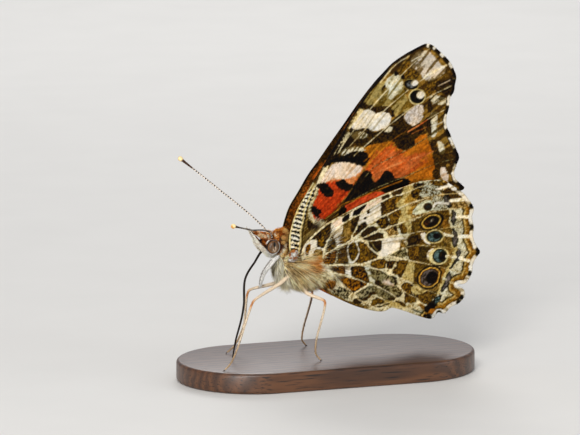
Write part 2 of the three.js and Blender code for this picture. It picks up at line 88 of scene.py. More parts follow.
HINDWING = {
    "hinge": (-3.18, 14.01),
    "spread": [(0, 2.0), (3, 2.5), (6, 2.5), (19, 1.6)],
    "outline": [
        (-0.6, 0), (-0.1, -0.9), (0.5, -1.8), (1.2, -2.7), (2.1, -3.6), (3.4, -4.5), (5.9, -5.7),
        (8.4, -6.5), (9.7, -6.6), (10.6, -6.3), (12.2, -6.8), (13.9, -7.5), (15.4, -8), (16, -7.9),
        (16.6, -7.3), (17.4, -7.5), (18.2, -6.8), (19.2, -6.4), (19.9, -5.6), (19.8, -4.8), (19, -4.2),
        (20.1, -4), (20.8, -2.8), (20.9, -1.9), (21.3, -1.1), (21.8, -0.4), (21.3, 0.4), (20.9, 1.5),
        (21, 2.6), (20.8, 3.7), (21, 4.8), (20.2, 6.1), (19.3, 7), (18.1, 7.8), (17, 8.4), (14.1, 8.4),
        (11.6, 7.8), (9.1, 7.1), (7.2, 6.4), (5.3, 5.7), (3.5, 4.9), (2.1, 4.2), (1, 3.4), (0.3, 2.8),
        (-0.3, 2.1), (-0.7, 1.1),
    ],
    "veins": [
        [
            (1.9, 0.2), (1.9, 0.7), (2, 1.1), (2.1, 1.7), (2.4, 2.3), (2.8, 2.9), (3.1, 3.2), (3.6, 3.6),
            (4.3, 4.1), (5, 4.5), (5.9, 4.9), (6.8, 5.3), (7.8, 5.8), (9.1, 6.4), (10.3, 6.8),
            (11.9, 7.1), (12.7, 7.3), (13.8, 7.7), (14.8, 7.9), (15.7, 8.1),
        ],
        [
            (2.2, 0.7), (3.1, 1.2), (4.1, 1.6), (5.2, 2.1), (5.9, 2.6), (6.8, 3.2), (7.8, 3.9), (9, 4.6),
            (10.3, 5), (11.6, 5.5), (12.4, 5.8), (13.1, 6), (14.6, 6.3), (16, 6.6), (17.5, 6.7),
            (18.6, 6.7), (19.7, 6.6),
        ],
        [
            (6.7, 2.3), (7.5, 2.5), (8.4, 2.9), (9, 3.1), (9.7, 3.2), (10, 3.4), (10.6, 3.5),
            (11.1, 3.6), (11.4, 3.7), (12.3, 3.9), (13.8, 4.2), (15.1, 4.6), (16.7, 4.8), (18.2, 4.9),
            (19.5, 5), (20.7, 5.1),
        ],
        [
            (6, 2.2), (7, 2), (8, 1.9), (9.1, 2), (9.7, 2.1), (10.9, 2.3), (12.3, 2.3), (13.8, 2.5),
            (15.3, 2.6), (16.6, 2.6), (17.8, 2.7), (18.7, 2.7), (20.8, 2.6),
        ],
        [(6.1, 2), (6.8, 1.9), (7.2, 1.6), (7.5, 1.2), (7.9, 0.8), (8.3, 0.5), (8.8, 0.1)],
        [
            (8.8, -0.2), (9.7, -0.1), (10.3, 0.1), (11, 0.5), (11.6, 0.7), (12.3, 0.8), (13, 0.9),
            (14.1, 0.9), (15.4, 0.7), (17, 0.5), (18.6, 0.1), (19.9, -0.1), (21.5, -0.4),
        ],
        [
            (1.5, -0.5), (1.9, -0.6), (2.8, -0.7), (4, -0.7), (5.2, -0.8), (6.6, -0.8), (7.3, -0.6),
            (8, -0.4), (8.7, -0.2), (9.4, -0.1), (10.1, -0.1), (10.8, -0.3), (11.6, -0.5), (13.1, -0.9),
            (14.7, -1.3), (16.4, -1.8), (17.8, -2.2), (19.1, -2.6), (20.4, -2.9),
        ],
        [
            (6.9, -0.9), (8, -1.3), (9.4, -1.8), (10.9, -2.5), (11.6, -2.9), (12.6, -3.3), (13.5, -3.9),
            (14.5, -4.4), (15.5, -4.7), (16.4, -5.1), (17.8, -5.4), (19.2, -5.8),
        ],
        [
            (0.5, -1.1), (1.6, -1.1), (2.5, -1.5), (3.4, -1.7), (4.3, -1.9), (5.2, -2.3), (6.3, -2.6),
            (7.3, -3.1), (8, -3.3), (8.8, -3.6), (9.6, -4.1), (10.3, -4.5), (11, -5), (11.6, -5.4),
            (12.3, -5.9), (13.1, -6.3), (14.1, -6.8),
        ],
        [
            (2.2, -1.5), (2.5, -1.7), (3, -1.9), (3.5, -2.2), (4, -2.7), (4.6, -3.3), (5.3, -3.9),
            (5.7, -4.4), (6.2, -4.9), (6.9, -5.3), (7.7, -5.7), (8.2, -6), (9.2, -6.3),
        ],
        [(5.6, -4.2), (6.2, -3.9), (6.8, -3.6), (7.6, -3.3)],
        [
            (11.1, -3.5), (11.6, -4), (12.3, -4.6), (13, -5), (13.5, -5.2), (13.9, -5.5), (14.2, -5.9),
            (14.7, -6.3),
        ],
        [
            (-0.4, 0.1), (-0.5, 0.8), (-0.5, 1.4), (-0.4, 1.9), (-0, 2.2), (0.4, 2.7), (0.9, 3.1),
            (1.4, 3.5), (1.9, 3.8), (2.5, 4.2), (3.1, 4.5), (3.6, 4.8), (4.4, 5.1), (5.2, 5.5), (6, 5.8),
            (7.1, 6.3), (8.1, 6.6), (9.1, 7), (10.4, 7.4), (11.6, 7.8), (12.9, 8.1),
        ],
    ],
    "border": (12, 34),
    "hair_fan": (-75, 55),
}
FAR_SWEEP = math.radians(0.5)
VEIN_WIDTH = 0.075
TROUGH_WIDTH = 0.7
ROOT_HAIR_REACH = 4.5
ROOT_HAIR_LENGTH = 0.7

# The body's main masses: centre, radii
THORAX = ((-3.0, 0, 13.0), (3.4, 2.3, 2.75))
THORAX_PITCH = math.radians(14)
COLLAR = ((-5.6, 0, 15.7), (1.0, 1.25, 1.9))
HEAD = ((-6.95, 0, 15.8), (1.05, 1.2, 1.6))
EYE = ((-7.08, 1.27, 15.73), (0.78, 0.55, 0.83))
CROWN = ((-6.15, 0, 16.5), (1.05, 0.85, 1.05))
COXAE = [((-6.05, 0.6, 13.45), (0.4, 0.4, 1.15)), ((-5.35, 0.75, 12.35), (0.55, 0.5, 0.95))]
HINGE_SPOT = (-4.75, 1.98, 14.78)
EYE_SPOTS = [
    (0.06, 0.36, 0.2, 0.34, 1.0), (0.1, 0.75, 0.09, 0.2, 0.7), (-0.5, 0.1, 0.11, 0.13, 0.35),
    (0.42, 0.05, 0.11, 0.13, 0.4), (-0.24, -0.45, 0.1, 0.12, 0.3),
]
EYE_RING_SCALES = 900
PALP_REGION, HEAD_REGION, COLLAR_REGION, THORAX_REGION, ABDOMEN_REGION, COXA_REGION, FRONS_REGION = range(7)
# How dark a body hair is painted at its root: painted shade deep in the coat
COAT_SHADE = 0.88
ABDOMEN_GIRTH = 1.3
ABDOMEN_RADII = [0.9, 1.15, 1.28, 1.3, 1.26, 1.15, 0.95, 0.65, 0.2]
ABDOMEN_AXIS = [(-1.6, 0, 12.7), (1.6, 0, 11.8), (5.4, 0, 10.2), (9.3, 0, 8.1)]

# Routes of the thin pieces, from the body outwards
ANTENNAE = {
    "left": [(-6.9, -0.7, 16.2), (-7.3, -1.3, 17.3), (-11.6, -7.0, 18.9), (-16.0, -12.6, 20.6)],
    "right": [(-6.6, 0.6, 16.3), (-7.2, 1.3, 17.5), (-10.8, 6.3, 21.3), (-14.3, 11.3, 24.7)],
}
ANTENNA_RADII = [
    (0, 0.13), (0.03, 0.11), (0.08, 0.094), (0.84, 0.09), (0.88, 0.11), (0.93, 0.15), (0.955, 0.17),
    (0.972, 0.29), (0.99, 0.3), (1, 0.24),
]
PALP = [
    (-7.2, 0.68, 14.95), (-7.85, 0.68, 15.36), (-8.44, 0.66, 16.02), (-9.01, 0.6, 16.88),
    (-9.36, 0.56, 17.38), (-9.72, 0.52, 17.82),
]
PALP_RADII = [0.5, 0.52, 0.42, 0.23, 0.14, 0.07]
FRONS = [(-6.9, 0, 16.5), (-8.0, 0, 16.95), (-8.8, 0, 17.3), (-9.4, 0, 17.58)]
FRONS_RADII = [0.85, 0.52, 0.25, 0.08]
PROBOSCIS = [
    (-7.7, 0, 15.3), (-8.2, -0.05, 14.85), (-8.9, -0.1, 13.8), (-9.6, -0.15, 12.9), (-10.1, -0.25, 12.0),
    (-10.3, -0.4, 11.1), (-10.35, -0.5, 9.2), (-10.7, -0.5, 7.2), (-11.3, -0.4, 5.0), (-11.7, -0.3, 2.75),
]
PROBOSCIS_RADII = [0.15, 0.13, 0.13, 0.14, 0.13, 0.12, 0.11, 0.08]
FORELEG = [
    (-6.1, 0.75, 14.5), (-6.9, 1.1, 14.15), (-7.6, 1.15, 13.4), (-8.15, 1.15, 12.65), (-8.46, 1.15, 11.85),
    (-8.6, 1.1, 11.1),
]
FORELEG_RIGHT_SHIFT = (0.84, 0, -0.43)
FORELEG_LINE = math.radians(270)
FORELEG_RADII = [0.2, 0.29, 0.3, 0.26, 0.19, 0.09]
LEG_RADII = [0.26, 0.26, 0.22, 0.2, 0.17, 0.14, 0.13, 0.125, 0.12, 0.11, 0.1, 0.09, 0.085, 0.08]
LEGS = {
    "midleg_left": [
        (-4.6, -0.9, 12.4), (-6.4, -1.7, 11.4), (-10.0, -3.2, 10.0), (-10.4, -3.4, 9.6),
        (-12.1, -4.6, 6.2), (-13.6, -5.3, 3.3), (-14.6, -5.8, 2.56),
    ],
    "midleg_right": [
        (-4.4, 0.8, 12.2), (-5.8, 1.4, 10.9), (-8.5, 2.5, 10.1), (-8.8, 2.7, 9.6),
        (-9.0, 3.2, 6.1), (-10.1, 3.5, 3.4), (-11.0, 3.7, 2.56),
    ],
    "hindleg_left": [
        (-2.9, -0.9, 11.4), (-3.0, -1.3, 10.1), (-1.5, -2.6, 9.4), (-1.2, -2.8, 9.1),
        (-2.3, -3.4, 5.6), (-2.7, -3.8, 3.3), (-2.2, -4.1, 2.56),
    ],
    "hindleg_right": [
        (-2.9, 0.9, 11.4), (-2.8, 1.4, 10.1), (-1.0, 2.9, 9.5), (-0.6, 3.1, 9.2),
        (-1.2, 3.8, 5.7), (-1.4, 4.4, 3.3), (-0.8, 4.7, 2.56),
    ],
}

# Patches beside the feelers' roots: along, high, half sizes, shade. The first one, pinkish white in front
# of the eye, is a painted sheen on the frons.
HEAD_PATCHES = [
    (-7.68, 16.74, 0.22, 0.32, "painted_sheen"), (-7.33, 16.78, 0.1, 0.4, "cheek"),
    (-6.95, 16.7, 0.16, 0.32, "palp_top"), (-6.56, 16.78, 0.14, 0.16, "cheek"),
]
# Hair colours on screen: light strands, most strands, dark strands
SHADES = {
    "palp": ((255, 254, 252), (248, 242, 238), (198, 188, 184)),
    "palp_top": ((120, 74, 36), (66, 40, 20), (34, 20, 10)),
    "frons": ((252, 214, 184), (196, 116, 56), (70, 38, 18)),
    "crown": ((244, 168, 88), (190, 106, 42), (84, 44, 18)),
    "nape": ((236, 190, 130), (138, 78, 34), (50, 28, 14)),
    # A painted sheen: the pinkish white of the frons in front of the eye
    "painted_sheen": ((255, 238, 226), (250, 212, 190), (206, 150, 116)),
    "cheek": ((255, 255, 255), (252, 250, 244), (210, 205, 194)),
    "collar": ((246, 204, 146), (196, 124, 60), (74, 44, 22)),
    "root": ((226, 156, 92), (176, 108, 50), (92, 56, 26)),
    "flank": ((255, 244, 216), (238, 208, 164), (96, 72, 44)),
    "back": ((222, 182, 122), (164, 124, 74), (84, 60, 34)),
    "belly": ((255, 252, 240), (240, 230, 206), (166, 152, 124)),
    "coxa": ((250, 248, 240), (206, 202, 190), (112, 106, 94)),
    "abdomen_back": ((224, 180, 116), (164, 122, 72), (92, 66, 38)),
    "abdomen_side": ((244, 216, 158), (204, 170, 114), (124, 96, 62)),
    "abdomen_belly": ((255, 250, 228), (238, 224, 188), (168, 152, 116)),
}


class Value:
    """A shader socket that can stand in sums: mask * 0.5, 1 - mask and so on."""

    def __init__(self, finish, socket):
        self.finish = finish
        self.socket = socket

    def _math(self, operation, first, second):
        return self.finish.node("ShaderNodeMath", {"operation": operation}, {0: first, 1: second})

    def __add__(self, other):
        return self._math("ADD", self, other)

    def __sub__(self, other):
        return self._math("SUBTRACT", self, other)

    def __rsub__(self, other):
        return self._math("SUBTRACT", other, self)

    def __mul__(self, other):
        return self._math("MULTIPLY", self, other)

    __radd__ = __add__
    __rmul__ = __mul__


class Finish:
    """A material and the nodes that make it."""

    def __init__(self, name):
        self.material = bpy.data.materials.new(name)
        self.material.use_nodes = True
        self.tree = self.material.node_tree
        self.shader = self.tree.nodes["Principled BSDF"]
        self.where = self.node("ShaderNodeTexCoord", output="Object")

    def plug(self, node, sockets):
        for key, value in sockets.items():
            target = node.inputs[key]
            if isinstance(value, Value):
                self.tree.links.new(value.socket, target)
            else:
                target.default_value = value

    def node(self, kind, settings=None, sockets=None, output=0):
        node = self.tree.nodes.new(kind)
        for key, value in (settings or {}).items():
            setattr(node, key, value)
        self.plug(node, sockets or {})
        return Value(self, node.outputs[output])

    def blend(self, low, high, share):
        low, high = [v if isinstance(v, Value) else (*v[:3], 1.0) for v in (low, high)]
        return self.node("ShaderNodeMix", {"data_type": "RGBA"}, {0: share, 6: low, 7: high}, 2)

    def shaded(self, dark):
        """The piece's own colours, darkened by a share from 0 to 1."""
        tint = self.node("ShaderNodeAttribute", {"attribute_name": "Tint"}, output="Color")
        return self.blend(tint, BLACK, dark)

    def stretched(self, scale):
        return self.node("ShaderNodeMapping", None, {"Vector": self.where, "Scale": scale})

    def clouds(self, pitch, detail=2.0, roughness=0.5, stretch=None):
        where = self.stretched(stretch) if stretch else self.where
        sockets = {"Vector": where, "Scale": 1 / (pitch * MM), "Detail": detail, "Roughness": roughness}
        return self.node("ShaderNodeTexNoise", None, sockets, "Fac")

    def cells(self, pitch):
        sockets = {"Vector": self.where, "Scale": 1 / (pitch * MM)}
        return self.node("ShaderNodeTexVoronoi", None, sockets, "Distance")

    def relief(self, height, depth, strength):
        sockets = {"Height": height, "Distance": depth * MM, "Strength": strength}
        return self.node("ShaderNodeBump", None, sockets)

    def done(self, **sockets):
        named = {key.replace("_", " "): value for key, value in sockets.items()}
        self.plug(self.shader, {"IOR": 1.45} | named)
        return self.material


def linear(tint):
    """A screen colour, 0 to 255, as the linear light that shaders use."""
    tint = np.asarray(tint, float) / 255
    return np.where(tint < 0.04045, tint / 12.92, ((tint + 0.055) / 1.055) ** 2.4)


def screen(*tints):
    """Screen colours, 0 to 255, as shares of full light: one colour, or a row for each."""
    return np.array(tints if len(tints) > 1 else tints[0]) / 255


def smooth(low, high, value):
    share = np.clip((value - low) / (high - low), 0, 1)
    return share * share * (3 - 2 * share)


def mixed(low, high, share):
    """Place by place mixes of two colours."""
    return np.asarray(low) * (1 - share[:, None]) + np.asarray(high) * share[:, None]


def clear_selection():
    if bpy.context.object and bpy.context.object.mode != "OBJECT":
        bpy.ops.object.mode_set(mode="OBJECT")
    bpy.ops.object.select_all(action="DESELECT")


def only(piece):
    clear_selection()
    piece.select_set(True)
    bpy.context.view_layer.objects.active = piece


def values(items, key, width=1, kind=float):
    """One property of a mesh's items, a row for each item."""
    found = np.empty(len(items) * width, kind)
    items.foreach_get(key, found)
    return found.reshape(-1, width) if width > 1 else found


def corners(piece):
    return values(piece.data.vertices, "co", 3)


def move_corners(piece, places):
    piece.data.vertices.foreach_set("co", np.ascontiguousarray(places, float).ravel())
    piece.data.update()


def modify(piece, kind, **settings):
    only(piece)
    bpy.ops.object.modifier_add(type=kind)
    modifier = piece.modifiers[-1]
    for key, value in settings.items():
        setattr(modifier, key, value)
    bpy.ops.object.modifier_apply(modifier=modifier.name)


def joined(pieces, name):
    only(pieces[0])
    for piece in pieces:
        piece.select_set(True)
    bpy.ops.object.join()
    pieces[0].name = name
    return pieces[0]


def outward(piece):
    only(piece)
    bpy.ops.object.mode_set(mode="EDIT")
    bpy.ops.mesh.select_all(action="SELECT")
    bpy.ops.mesh.normals_make_consistent(inside=False)
    bpy.ops.object.mode_set(mode="OBJECT")


def tint_corners(piece, tints):
    """Stores one colour, 0 to 1 on screen, for each vertex."""
    layer = piece.data.color_attributes.new(name="Tint", type="FLOAT_COLOR", domain="POINT")
    light = np.ones((len(piece.data.vertices), 4))
    light[:, :3] = linear(np.asarray(tints) * 255)
    layer.data.foreach_set("color", light.ravel())


def lay_chart(mesh, spots):
    """Gives a mesh its one map, with a spot for each face corner."""
    while mesh.uv_layers:
        mesh.uv_layers.remove(mesh.uv_layers[0])
    mesh.uv_layers.new(name="OFBake").data.foreach_set("uv", np.ascontiguousarray(spots, float).ravel())


def settle(piece, name, material, slot, *nodes, smooth_faces=True):
    """Brings a piece to metres and says what it is, what it rides on and what it stands for."""
    piece.name = name
    piece.data.name = name
    piece.data.transform(Matrix.Scale(MM, 4))
    piece.data.materials.clear()
    piece.data.materials.append(material)
    piece.data.polygons.foreach_set("use_smooth", np.full(len(piece.data.polygons), smooth_faces))
    piece.data.update()
    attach(piece, "root")
    if nodes:
        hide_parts(*nodes)


def route(points, count):
    """Evenly spaced points on a smooth line through the given ones, and how far along each is."""
    points = np.asarray(points, float)
    ends = np.vstack([2 * points[0] - points[1], points, 2 * points[-1] - points[-2]])
    line = []
    for k in range(1, len(ends) - 2):
        near = ends[k - 1:k + 3]
        steps = np.sqrt(np.linalg.norm(np.diff(near, axis=0), axis=1))
        knots = np.concatenate([[0], np.cumsum(steps)])
        for t in np.linspace(knots[1], knots[2], 24, endpoint=False):
            row = near
            for level in (1, 2, 3):
                spans = knots[level:] - knots[:-level]
                share = ((t - knots[:-level]) / spans)[:, None]
                row = row[:-1] * (1 - share) + row[1:] * share
            line.append(row[0])
    line = np.vstack([line, points[-1:]])
    run = np.concatenate([[0], np.cumsum(np.linalg.norm(np.diff(line, axis=0), axis=1))])
    even = np.linspace(0, run[-1], count)
    return np.stack([np.interp(even, run, line[:, k]) for k in range(3)], 1), even


def frames(line):
    """Direction and two sideways vectors at each point of a line, without twist."""
    ahead = np.gradient(line, axis=0)
    ahead /= np.linalg.norm(ahead, axis=1)[:, None]
    side = np.empty_like(line)
    start = np.cross(ahead[0], (0, 0, 1))
    if np.linalg.norm(start) < 0.1:
        start = np.cross(ahead[0], (0, 1, 0))
    side[0] = start / np.linalg.norm(start)
    for k in range(1, len(line)):
        turned = side[k - 1] - ahead[k] * (side[k - 1] @ ahead[k])
        side[k] = turned / np.linalg.norm(turned)
    return ahead, side, np.cross(ahead, side)


def girth(radii, share):
    """A limb's radius at shares of its length, from evenly spaced radii."""
    return np.interp(share, np.linspace(0, 1, len(radii)), radii)


def limb(points, radii, sides=14, rings=48, section=None):
    """A round closed limb: a ball whose rings are moved along a route."""
    clear_selection()
    bpy.ops.mesh.primitive_uv_sphere_add(segments=sides, ring_count=rings, radius=1)
    piece = bpy.context.object
    x, y, z = corners(piece).T
    ring = np.rint(np.arccos(np.clip(z, -1, 1)) / math.pi * rings).astype(int)
    angle = np.arctan2(y, x)
    line, run = route(points, rings + 1)
    ahead, side, up = frames(line)
    share = ring / rings
    radius = girth(radii, share)
    if section:
        radius = radius * section(share, angle)
    from_end = np.minimum(run[ring], run[-1] - run[ring])
    inside = np.clip(1 - from_end / np.maximum(radius, 1e-6), 0, 1)
    radius = radius * np.sqrt(np.clip(1 - inside ** 2, 0, 1))
    around = side[ring] * np.cos(angle)[:, None] + up[ring] * np.sin(angle)[:, None]
    move_corners(piece, line[ring] + around * radius[:, None])
    outward(piece)
    return piece, share, angle


def painted_limb(points, radii, sides, rings, tint_of, section=None):
    """A limb with its colours, and with its own map along it and round it."""
    piece, share, angle = limb(points, radii, sides, rings, section)
    tint_corners(piece, tint_of(share, angle))
    mesh = piece.data
    room, full = 0.92, 1.12
    turn = (angle % (2 * math.pi)) / (2 * math.pi)
    spots = np.stack([share, turn], 1) * room + 0.04
    spots = spots[values(mesh.loops, "vertex_index", kind=int)]
    sizes = [values(mesh.polygons, key, kind=int) for key in ("loop_start", "loop_total")]
    for start, total in zip(*sizes):
        turns = spots[start:start + total, 1]
        if np.ptp(turns) > 0.5:
            turns[turns < 0.5] += room
    lay_chart(mesh, spots / (1, full))
    return piece


def ball(centre, radii, segments=48, rings=32, pitch=0.0):
    clear_selection()
    bpy.ops.mesh.primitive_uv_sphere_add(segments=segments, ring_count=rings, radius=1)
    piece = bpy.context.object
    turn = np.array(Matrix.Rotation(pitch, 3, "Y"))
    move_corners(piece, corners(piece) * radii @ turn.T + np.array(centre))
    return piece


def seeded(number):
    return np.random.default_rng(4200 + number)


def varied(random, size, count, low=0.7, spread=0.6):
    """Sizes that differ from one to the next, from low to low + spread times the given one."""
    return size * (low + spread * random.random(count))


def skin_samples(skin, count, density, random):
    """Random roots on a skin: place, normal and place on the skin's own map, in millimetres."""
    mesh = skin.data
    mesh.calc_loop_triangles()
    loops, verts = [values(mesh.loop_triangles, key, 3, int) for key in ("loops", "vertices")]
    at = corners(skin)[verts]
    cross = np.cross(at[:, 1] - at[:, 0], at[:, 2] - at[:, 0])
    area = np.linalg.norm(cross, axis=1)
    weight = area * density(at.mean(1))
    pick = random.choice(len(area), count, p=weight / weight.sum())
    a, b = random.random((2, count))
    flip = a + b > 1
    a[flip], b[flip] = 1 - a[flip], 1 - b[flip]
    share = np.stack([1 - a - b, a, b], 1)[:, :, None]
    chart = values(mesh.uv_layers["OFBake"].data, "uv", 2)[loops[pick]]
    return (at[pick] * share).sum(1), cross[pick] / area[pick][:, None], (chart * share).sum(1)


def tuft_pattern(cuts, sides):
    """One tuft, modelled once: a thin cone cut across so that it can bend."""
    clear_selection()
    bpy.ops.mesh.primitive_cone_add(vertices=sides, radius1=1, radius2=0, depth=1, location=(0, 0, 0.5))
    tuft = bpy.context.object
    bpy.ops.object.transform_apply(location=True, rotation=False, scale=False)
    bpy.ops.object.mode_set(mode="EDIT")
    for cut in range(1, cuts + 1):
        bpy.ops.mesh.select_all(action="SELECT")
        bpy.ops.mesh.bisect(plane_co=(0, 0, cut / (cuts + 1)), plane_no=(0, 0, 1))
    bpy.ops.mesh.select_all(action="SELECT")
    bpy.ops.mesh.quads_convert_to_tris()
    bpy.ops.object.mode_set(mode="OBJECT")
    shape = corners(tuft)
    faces = np.array([tuple(p.vertices) for p in tuft.data.polygons])
    bpy.data.objects.remove(tuft)
    return shape, faces


def tuft(kind):
    """A hair or a flat scale, made the first time that it is asked for."""
    if kind not in TUFTS:
        TUFTS[kind] = tuft_pattern(*TUFT_CUTS_AND_SIDES[kind])
    return TUFTS[kind]


def sow(name, kind, roots, normals, lie, length, width, lift, tints, charts, curl=0.6, shade=0.6, flat=1.0):
    """Copies one tuft to every root, lying along the coat and bending down towards the skin."""
    shape, faces = tuft(kind)
    n, m = len(roots), len(shape)
    length, width, lift = [np.broadcast_to(value, n)[:, None, None] for value in (length, width, lift)]
    lie = lie - normals * (lie * normals).sum(1)[:, None]
    lie /= np.linalg.norm(lie, axis=1)[:, None] + 1e-9
    side = np.cross(normals, lie)
    across, thick, t = [shape[:, k][None, :, None] for k in range(3)]
    rise = np.sin(lift) * t * (1 - curl * t)
    spine = (np.cos(lift) * t * lie[:, None] + rise * normals[:, None]) * length
    round_it = across * side[:, None] + thick * normals[:, None] * flat
    places = roots[:, None] + spine + round_it * ((1 - 0.35 * t) * width)
    mesh = bpy.data.meshes.new(name)
    piece = bpy.data.objects.new(name, mesh)
    bpy.context.collection.objects.link(piece)
    index = (faces[None] + (np.arange(n) * m)[:, None, None]).reshape(-1)
    mesh.vertices.add(n * m)
    mesh.vertices.foreach_set("co", places.reshape(-1))
    mesh.loops.add(len(index))
    mesh.loops.foreach_set("vertex_index", index)
    mesh.polygons.add(len(index) // 3)
    mesh.polygons.foreach_set("loop_start", np.arange(len(index) // 3) * 3)
    mesh.update(calc_edges=True)
    spots = charts[:, None] + shape[None, :, :2] * TUFT_PATCH
    lay_chart(mesh, spots.reshape(-1, 2)[index])
    # Each tuft is painted darker towards its root, down to the share given as shade: painted shade deep in
    # the coat and among the scales
    tone = shade + (1 - shade) * shape[:, 2] ** 0.7
    tint_corners(piece, np.clip(tints[:, None] * tone[None, :, None], 0, 1).reshape(-1, 3))
    return piece


def fur_finish(name, roughness=0.55):
    f = Finish(name)
    grain = f.clouds(0.12)
    return f.done(
        Base_Color=f.shaded(0.18 * (1 - grain)), Roughness=roughness + 0.2 * grain, Specular_IOR_Level=0.2,
    )


# Kinds of scales: main colour, second colour, share of the second, grain, how dark the rim is
SCALES = {
    "white": ((228, 219, 201), (160, 144, 116), 0.2, "streak", 0),
    "white_streak": ((224, 214, 196), (182, 168, 142), 0.28, "streak", 0),
    "white_green": ((206, 200, 176), (140, 126, 86), 0.34, "streak", 0),
    "pale": ((210, 198, 162), (136, 114, 74), 0.24, "fine", 0),
    "pale_band": ((192, 172, 118), (150, 126, 74), 0.34, "fine", 0),
    "cream": ((230, 217, 182), (172, 148, 104), 0.22, "fine", 0),
    "cream_streak": ((226, 206, 156), (96, 72, 38), 0.42, "streak", 0),
    "cream_dull": ((170, 146, 88), (104, 82, 44), 0.3, "fine", 0),
    "greywhite": ((208, 198, 172), (92, 76, 50), 0.4, "streak", 0),
    "bar_streak": ((196, 180, 142), (34, 24, 14), 0.55, "streak", 0),
    "lilac": ((208, 196, 184), (176, 160, 146), 0.4, "fine", 0),
    "pinkwhite": ((226, 205, 184), (200, 168, 138), 0.3, "streak", 0),
    "apex": ((204, 190, 172), (108, 88, 64), 0.5, "streak", 0),
    "marble": ((176, 172, 150), (88, 70, 42), 0.46, "fine", 0),
    "buff": ((148, 124, 76), (80, 58, 30), 0.45, "streak", 0),
    "tan": ((138, 108, 60), (84, 60, 24), 0.42, "fine", 0.25),
    "tan_streak": ((134, 102, 52), (64, 44, 18), 0.5, "streak", 0),
    "olive": ((152, 132, 84), (96, 74, 32), 0.6, "streak", 0),
    "brown": ((118, 86, 34), (54, 36, 12), 0.42, "fine", 0.45),
    "brown_dark": ((62, 44, 22), (26, 17, 9), 0.5, "fine", 0),
    "mottle": ((120, 87, 30), (30, 19, 8), 0.5, "fine", 0.4),
    "mottle_dark": ((84, 58, 22), (20, 12, 6), 0.58, "fine", 0.3),
    "mottle_pale": ((168, 138, 88), (88, 62, 30), 0.45, "fine", 0.2),
    "mottle_orange": ((152, 98, 30), (32, 20, 10), 0.52, "fine", 0.4),
    "mottle_grey": ((142, 130, 96), (54, 42, 24), 0.46, "fine", 0.4),
    "dark": ((36, 24, 10), (64, 46, 18), 0.3, "fine", 0.3),
    "black": ((15, 11, 8), (36, 26, 16), 0.25, "fine", 0),
    "black_soft": ((42, 28, 16), (74, 52, 26), 0.4, "fine", 0),
    "field": ((106, 80, 34), (66, 46, 16), 0.5, "fine", 0.1),
    "red": ((180, 64, 34), (152, 46, 24), 0.35, "streak", 0),
    "red_deep": ((204, 80, 50), (176, 58, 34), 0.35, "streak", 0),
    "salmon": ((186, 97, 56), (172, 80, 40), 0.35, "streak", 0),
    "salmon_light": ((208, 130, 84), (192, 96, 54), 0.4, "streak", 0),
    "orange": ((184, 108, 36), (160, 88, 26), 0.4, "streak", 0),
    "amber": ((180, 112, 36), (140, 84, 28), 0.4, "streak", 0),
    "ring": ((222, 178, 92), (190, 146, 62), 0.3, "fine", 0),
    "ring_pale": ((220, 202, 148), (196, 172, 112), 0.3, "fine", 0),
    "teal": ((84, 104, 108), (40, 54, 58), 0.45, "fine", 0),
    "bluegrey": ((96, 98, 104), (56, 54, 56), 0.4, "fine", 0),
    "blueblack": ((34, 36, 42), (22, 18, 16), 0.4, "fine", 0),
    "mauve": ((98, 88, 92), (54, 44, 44), 0.4, "fine", 0),
    "lunule": ((98, 90, 90), (62, 54, 54), 0.4, "fine", 0.8),
    "pale_clean": ((206, 206, 180), (176, 172, 140), 0.3, "streak", 0),
    "root_orange": ((190, 132, 74), (150, 98, 48), 0.45, "fine", 0),
    "warm": ((132, 92, 42), (100, 68, 26), 0.45, "fine", 0),
    "speckle": ((152, 142, 112), (30, 22, 12), 0.5, "fine", 0.3),
    "gold": ((166, 128, 62), (122, 88, 34), 0.4, "fine", 0),
    "field_dark": ((78, 60, 28), (48, 34, 14), 0.5, "fine", 0),
    "umber": ((62, 34, 18), (34, 20, 12), 0.4, "fine", 0),
    "bright": ((240, 232, 208), (214, 194, 146), 0.25, "fine", 0),
    "ring_amber": ((176, 104, 36), (130, 70, 24), 0.4, "fine", 0),
    "dark_teal": ((44, 52, 46), (28, 30, 26), 0.4, "fine", 0),
    "hem": ((142, 98, 38), (104, 70, 26), 0.35, "fine", 0),
    "hem_light": ((196, 168, 108), (158, 122, 62), 0.45, "fine", 0),
    "grey_hem": ((206, 198, 170), (148, 136, 104), 0.34, "fine", 0),
    "upper_costa": ((66, 42, 22), (146, 84, 36), 0.4, "fine", 0),
    "upper_ground": ((170, 96, 40), (110, 62, 26), 0.5, "streak", 0),
    "upper_glow": ((206, 112, 48), (178, 88, 36), 0.4, "streak", 0),
    "upper_dark": ((44, 30, 20), (70, 46, 24), 0.4, "fine", 0),
    "upper_white": ((226, 218, 200), (170, 158, 134), 0.3, "fine", 0),
}
# The upper side's kinds for the forewing's marks that both sides share
FORE_UPPER = {
    "upper_glow": ("orange", "salmon", "red", "amber", "red_deep", "salmon_light", "pinkwhite"),
    "upper_white": ("white_streak", "white_green", "lilac"),
    "upper_dark": ("black", "black_soft", "brown_dark", "tan_streak", "olive", "apex", "bar_streak"),
}
HIND_UPPER = {"upper_dark": ("dark", "mottle_dark", "lunule")}


def places_of(text):
    """Places of a wing's plane, in millimetres from its hinge: to the tail, up."""
    return np.array([[float(v) for v in spot.split(",")] for spot in text.split()])


def rows_of(text):
    """A pattern's rows, each a kind of scales, its numbers in millimetres or shares, and its places."""
    rows = []
    for row in text.split(";")[:-1]:
        kind, *words = row.split()
        numbers = [float(word) for word in words if "," not in word]
        rows.append((kind, *numbers, places_of(" ".join(word for word in words if "," in word))))
    return rows


